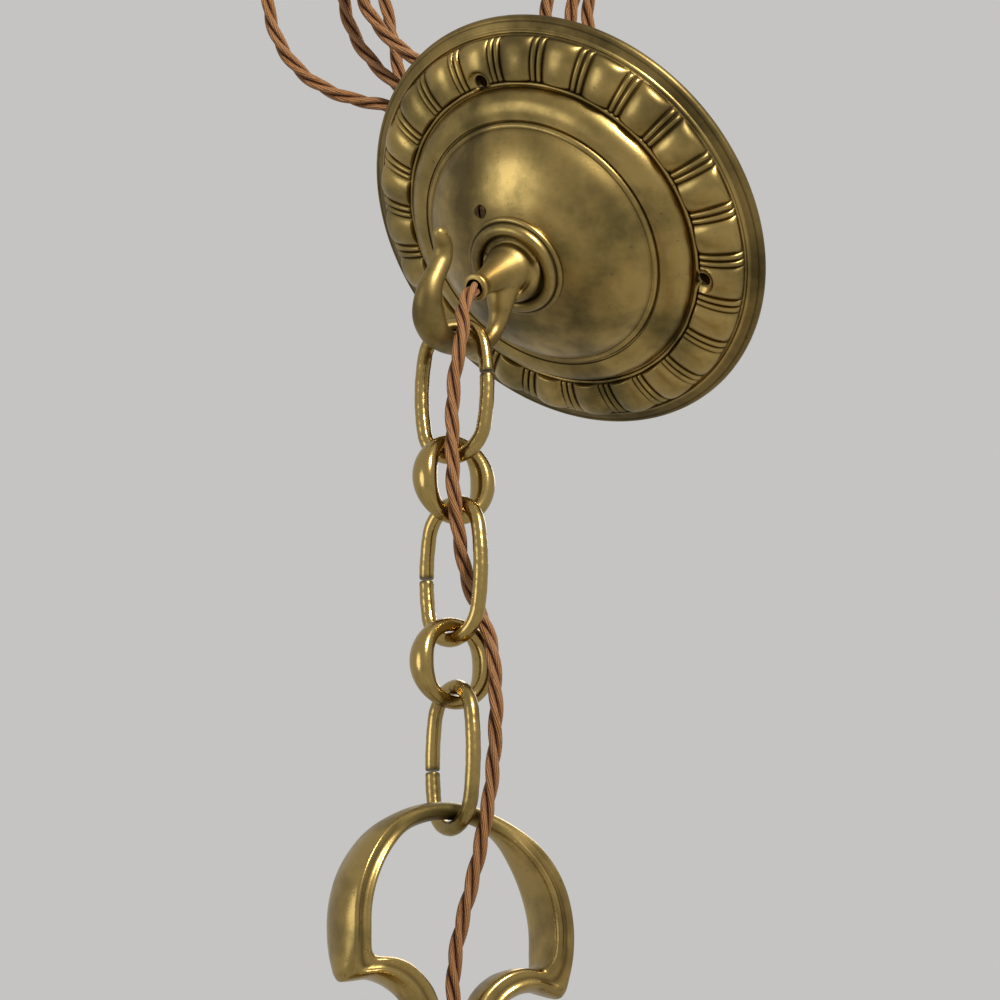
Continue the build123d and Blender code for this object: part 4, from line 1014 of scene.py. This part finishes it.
def makeLoop():
    turn = np.radians(np.linspace(0, 90, 40))
    thick = loop["topThick"] + (loop["sideThick"] - loop["topThick"]) * np.sin(turn) ** 2
    full = np.sin(np.minimum(turn * 1.25, pi / 2)) ** 2
    deep = loop["topDeep"] + (loop["sideDeep"] - loop["topDeep"]) * full
    arch = np.stack([
        loop["across"] * np.sin(turn), loop["above"] * np.cos(turn),
        (loop["across"] - thick) * np.sin(turn), (loop["above"] - thick) * np.cos(turn), deep,
    ], -1)
    foot = smoothLine([arch[-1], *loop["heel"]], 120, 2)
    side = np.vstack([arch[1:], foot[1:]])
    line = np.vstack([side[::-1] * (-1, 1, -1, 1, 1), arch[:1], side])
    section = np.array(limbSection)
    section = np.vstack([section, (section * (1, -1))[-2:0:-1]])
    # Oval at the crown, and the limb's own section 14 mm below it
    angle = np.arctan2(section[:, 1], 1 - 2 * section[:, 0])
    oval = np.stack([0.5 - 0.5 * np.cos(angle), np.sin(angle)], -1)
    formed = np.clip((loop["above"] - line[:, 1]) / 14, 0, 1)[:, None]
    formed = formed * formed * (3 - 2 * formed)
    through, across = (oval[None, :, k] * (1 - formed) + section[None, :, k] * formed for k in range(2))
    x, z = (line[:, k:k + 1] * (1 - through) + line[:, k + 2:k + 3] * through for k in range(2))
    rows = np.stack([x, -across * line[:, 4:5], z], -1)
    # Darker channel along each edge face: grime and painted shade
    groove = np.clip(1 - np.abs(section[:, 0] - 0.45) / 0.16, 0, 1) * (np.abs(section[:, 1]) > 0.85)
    grime = 0.75 * groove[None, :] * formed
    way = Vector((cos(radians(loop["turn"])), sin(radians(loop["turn"])), 0))
    top = jointPlace("chandelier_swing").z + chain["rod"] + loop["topThick"] + 0.2
    place = frameAt(way, up, (axisX, axisY, top - loop["above"]))
    piece = makeMesh("topLoop", [skin(rows, grime=grime)], place)
    finishPiece(piece, loopBrass, "chandelier", ["top_loop"], sharp=50)


makeLoop()
print("top loop made")


# Stem: one turned piece under another, down to the bowl and finial

# Heights are from a piece's top; lobes have a count, a depth, a lower and upper end and a share that fades
stem = {
    "loopBase": {"node": "loop_base", "top": topOf("upper_vase") + 20, "sides": 120, "step": 0.6, "outline": [
        (3.4, 0), (8.5, 0), [(8.9, -2), (8.6, -4)], [(10.4, -4.3), (10.6, -5.2)],
        [(13.5, -6.2), (15, -9), (13.6, -11.8), (10.8, -13)], [(9.6, -14.2), (9.4, -16.5), (10.2, -18)],
        (10.9, -20), (3.4, -20), (3.4, 0),
    ]},
    "upperVase": {"node": "upper_vase", "sides": 240, "step": 0.6, "outline": [
        (5.1, 0), (10.6, 0), [(10.8, -1.4), (9.2, -2.6)], [(8.6, -5), (9.4, -7.6)], [(12, -8.4), (12, -9.8)],
        [(17.5, -12.5), (22.5, -17), (24.2, -22.5)], [(24.9, -23.4), (24.2, -24.4)],
        [(22.8, -30), (18.5, -36.5), (13, -42.5), (9.8, -48), (9, -52.4)],
        [(11.6, -53), (12.2, -54.6), (11.4, -56)], [(12.6, -58), (12.6, -60)], (5.1, -60), (5.1, 0),
    ], "lobes": (20, 1.5, -51, -24.6, 0.12)},
    "gadroonedKnop": {"node": "gadrooned_knop", "sides": 320, "step": 0.5, "outline": [
        (5.1, 0), (12.6, 0), [(13, -1.5), (12.4, -2.6)],
        [(19.5, -4.2), (26.2, -7.6), (29.8, -12.8), (29.8, -16)], [(27.4, -20.8), (22, -24)],
        [(18.6, -24.4), (17.4, -25.6)], [(15.4, -26.4), (15.2, -28)], (5.1, -28), (5.1, 0),
    ], "lobes": (20, 2.4, -24, -2.6, 0.1)},
    "stemColumn": {"node": "stem_column", "sides": 256, "step": 0.7, "outline": [
        (5.1, 0), (15.2, 0), [(16, -1.8), (15.4, -3.6)], [(13.2, -4.4), (12.8, -6.2)],
        [(12.2, -7.6), (11.6, -8)], [(11.9, -40), (11.6, -72)], [(12.4, -73), (12.9, -74.4)],
        [(14.6, -75.4), (14.6, -77.4), (13.6, -78.4)], (14.2, -80), (5.1, -80), (5.1, 0),
    ], "lobes": (16, 1.5, -71.6, -8.4, 0.03)},
    "lowerKnop": {"node": "lower_knop", "sides": 160, "step": 0.5, "outline": [
        (5.1, 0), (14.2, 0), [(16.4, -2), (18.2, -5.4), (18.4, -8), (17.4, -11.4), (15.2, -13.4)],
        [(14, -14), (14.2, -16)], (5.1, -16), (5.1, 0),
    ], "lobes": (16, 0.9, -13, -1.6, 0.1)},
    "bowl": {"node": "bowl", "sides": 384, "step": 0.6, "outline": [
        (30, 0), (36, 0), [(37, -1.4), (36.2, -2.8)], [(38, -3.4), (40.8, -4.6), (43, -7.6), (43.6, -12)],
        [(42.2, -17.4), (38, -23.4), (30.6, -29), (21.6, -33.4), (15, -36)],
        [(13.2, -36.6), (13.4, -38), (11.6, -39), (10.2, -40)], (3.1, -40), (3.1, -34),
        [(13, -34), (28, -27), (37, -19), (40, -12)], [(36, -6), (30, -5)], (30, 0),
    ], "lobes": (24, 1.6, -35.8, -4, 0.1)},
    "finial": {"node": "finial", "top": footOf("bowl"), "sides": 192, "step": 0.5, "outline": [
        (0, 0.2), (9.2, 0), [(9.6, -1.6), (8.6, -3)], [(6.6, -5), (5.4, -8), (5.6, -10.4)],
        [(8.2, -11), (8.2, -12.6)],
        [(11.8, -16), (13.8, -21), (13.6, -26), (11.2, -31.4), (7.4, -35.4), (4.4, -37.6)],
        [(5.4, -39.2), (4.6, -41)], [(5.4, -43.6), (4.8, -47), (2.6, -49.4), (0, -50)],
    ], "lobes": (12, 1.1, -36, -13, 0.12)},
}


# Change of radius that cuts rounded lobes into a band of heights
def lobes(count, depth, low, high, edge):
    def swell(radius, height, turn):
        share = np.clip((height - low) / (high - low), 0, 1)
        fade = np.clip(np.minimum(share, 1 - share) / edge, 0, 1) ** 0.5
        return depth * fade * (np.abs(np.sin(turn * count / 2)) ** 0.5 - 1)
    return swell


# Outline and change of radius of a turned part that stands at a height
def turnedForm(part, rise):
    outline = moulding(part["outline"], part["step"], rise)
    if "lobes" not in part:
        return outline, None
    count, depth, low, high, edge = part["lobes"]
    return outline, lobes(count, depth, rise + low, rise + high, edge)


def makeStem():
    for name, part in stem.items():
        outline, swell = turnedForm(part, part.get("top", topOf(part["node"])))
        grime = foldGrimeAndShade(outline)
        if swell is not None:
            turn = np.arange(part["sides"])[None, :] * 2 * pi / part["sides"]
            relief = swell(outline[:, :1], outline[:, 1:], turn)
            # Darker between the lobes: grime and painted shade
            grime = np.maximum(grime, np.clip(-relief / float(np.abs(relief).max()), 0, 1) ** 3)
        rows = spun(outline, part["sides"], swell)
        piece = makeMesh(name, [skin(rows, ends=False, grime=grime)], Matrix.Translation((axisX, axisY, 0)))
        finishPiece(piece, stemBrass, "chandelier", [part["node"]])


makeStem()
print("stem made")


# Arms and lights: one of each is made at no turn, and six stand round the stem

arms = {
    "count": 6, "turn": 15.0, "tube": 6.0, "start": 20.0, "drop": 22.0,
    "moves": [(20.0,), (55.0, -30.0), (115.0, 75.0), (40.0, 45.0), (4.0,)],
    # Share of the arm's length, radius, half width
    "rings": [(0.115, 8.4, 3.2), (0.135, 7.4, 2.2), (0.93, 7.6, 2.4), (0.955, 8.6, 3.0)],
    "scrollShare": 0.42, "scrollLift": 7.2, "scroll": [(34.0, -100.0), (20.0, -120.0), (10.0, -150.0)],
    "ball": [(0, 5), [(3.5, 3.6), (5, 0), (3.5, -3.6), (0, -5)]],
    "boss": [
        (3.6, -2), (6.4, -2), [(8.6, -0.4), (9.2, 1.6)], (8.2, 2.6), [(9, 5.2), (9.2, 8)], (5.05, 8),
        (5.05, 2), (3.6, 2), (3.6, -2),
    ],
}
sleeveHeight = topOf("candle_sleeve_1") - footOf("candle_sleeve_1")
lights = {
    "dripPans": {"node": "drip_pan", "sides": 144, "step": 0.9, "outline": [
        (5.1, 0), (14, 0), [(20, 0.2), (26, 1.4), (31, 3.6), (33.6, 5.4)],
        [(34.2, 6.2), (33.4, 6.6), (32.6, 6)], [(29.6, 4.6), (25, 3.2), (20, 2.2), (16, 2)], (5.1, 2),
        (5.1, 0),
    ], "waves": 6, "waveDepth": 1.3},
    "candleCups": {"node": "candle_cup", "sides": 144, "step": 0.6, "outline": [
        (5.1, 3), (5.1, 0), (8.2, 0), [(8.6, 1), (8.2, 1.8)], [(11.4, 3.4), (14.2, 7.2), (15, 12)],
        [(14.6, 16), (13.7, 19.6)], [(14, 21.4), (15.2, 22.8), (15, 24)], (12.3, 24), (12.3, 5),
        [(7, 4), (5.1, 3)],
    ], "lobes": (12, 0.9, 2.2, 19.4, 0.1)},
    "candleSleeves": {"node": "candle_sleeve", "sides": 64, "step": 3.0, "outline": [
        (11.3, 0), (12.2, 0), (12.2, sleeveHeight - 0.5), [(12.0, sleeveHeight), (11.6, sleeveHeight)],
        (11.3, sleeveHeight - 0.3), (11.3, 0),
    ]},
}


def placeSix(piece, material, stem):
    middle = (axisX * mm, axisY * mm, 0)
    piece.data.transform(Matrix.Translation(middle) @ Matrix.Rotation(radians(arms["turn"]), 4, "Z"))
    giveTree(piece, ringTree, {"Count": arms["count"], "Middle": middle, "Material": material})
    settle(piece)
    finishPiece(piece, material, "chandelier", [f"{stem}_{k + 1}" for k in range(arms["count"])])


# Edge of a pan, drawn in between its waves
def panWaves(radius, height, turn):
    pan = lights["dripPans"]
    wave = pan["waveDepth"] * (np.abs(np.cos(pan["waves"] * turn)) ** 0.6 - 1)
    return wave * np.clip((radius - 22) / 10, 0, 1)


def makeArms():
    course = drawn((arms["start"], topOf("arm_hub") - arms["drop"]), 0, arms["moves"])
    at = lengthAt(course)
    reach, top = course[-1]
    skins = [skin(rod(stood(course), arms["tube"], sides=28))]
    for share, ringRadius, half in arms["rings"]:
        middle = share * at[-1]
        run = np.linspace(middle - half, middle + half, 9)
        inner = arms["tube"] - 0.4
        radius = inner + (ringRadius - inner) * np.sqrt(np.clip(1 - ((run - middle) / half) ** 2, 0, 1))
        skins.append(skin(rod(stood(pointsAt(course, at, run)), radius, sides=28)))
    # Scroll that leaves along the upper wall, broad at first, and ends in a ball
    place = arms["scrollShare"] * at[-1]
    foot, ahead = pointsAt(course, at, place), pointsAt(course, at, place + 1)
    way = (foot - ahead) / np.linalg.norm(foot - ahead)
    foot = foot + np.array([way[1], -way[0]]) * arms["scrollLift"]
    curl = drawn(foot, np.degrees(np.arctan2(way[1], way[0])), arms["scroll"], 1.2)
    share = np.linspace(0, 1, len(curl))
    skins.append(skin(rod(stood(curl), 3.2 - 0.8 * share, 4.6 - 2.2 * share, sides=24, power=1 / 1.2)))
    ball = spun(moulding(arms["ball"], 0.6), 32)[:, :, [0, 2, 1]]
    skins.append(skin(ball + np.array([curl[-1][0], 0, curl[-1][1]]), ends=False))
    boss = moulding(arms["boss"], 0.5, top)
    skins.append(skin(spun(boss, 48) + np.array([reach, 0, 0]), ends=False, grime=foldGrimeAndShade(boss)))
    placeSix(makeMesh("arms", skins), stemBrass, "arm")
    return reach


def makeLights(reach):
    for name, part in lights.items():
        outline, swell = turnedForm(part, footOf(part["node"] + "_1"))
        rows = spun(outline, part["sides"], panWaves if "waves" in part else swell) + np.array([reach, 0, 0])
        card = name == "candleSleeves"
        piece = makeMesh(name, [skin(rows, ends=False, grime=None if card else foldGrimeAndShade(outline))])
        placeSix(piece, ivoryCard if card else stemBrass, part["node"])


makeLights(makeArms())
print("arms and lights made")

# Pieces that show the solids themselves
for material, stems in (
    # The grub screw takes the near-black brown as painted shade of its hole
    (stemBrass, ("arm_hub", "bridge_bar")), (screwHoleShade, ("plate_grub_screw",)), (rubber, ("arm_wires",)),
    (steel, ("hook_washer", "hook_nut", "arm_nuts", "stem_tube")), (porcelain, ("terminal_block",)),
    (bakelite, ("lampholder",)),
):
    for node in cadNodes.values():
        if node.name.startswith(stems):
            paint(node, material)
print("solids painted")
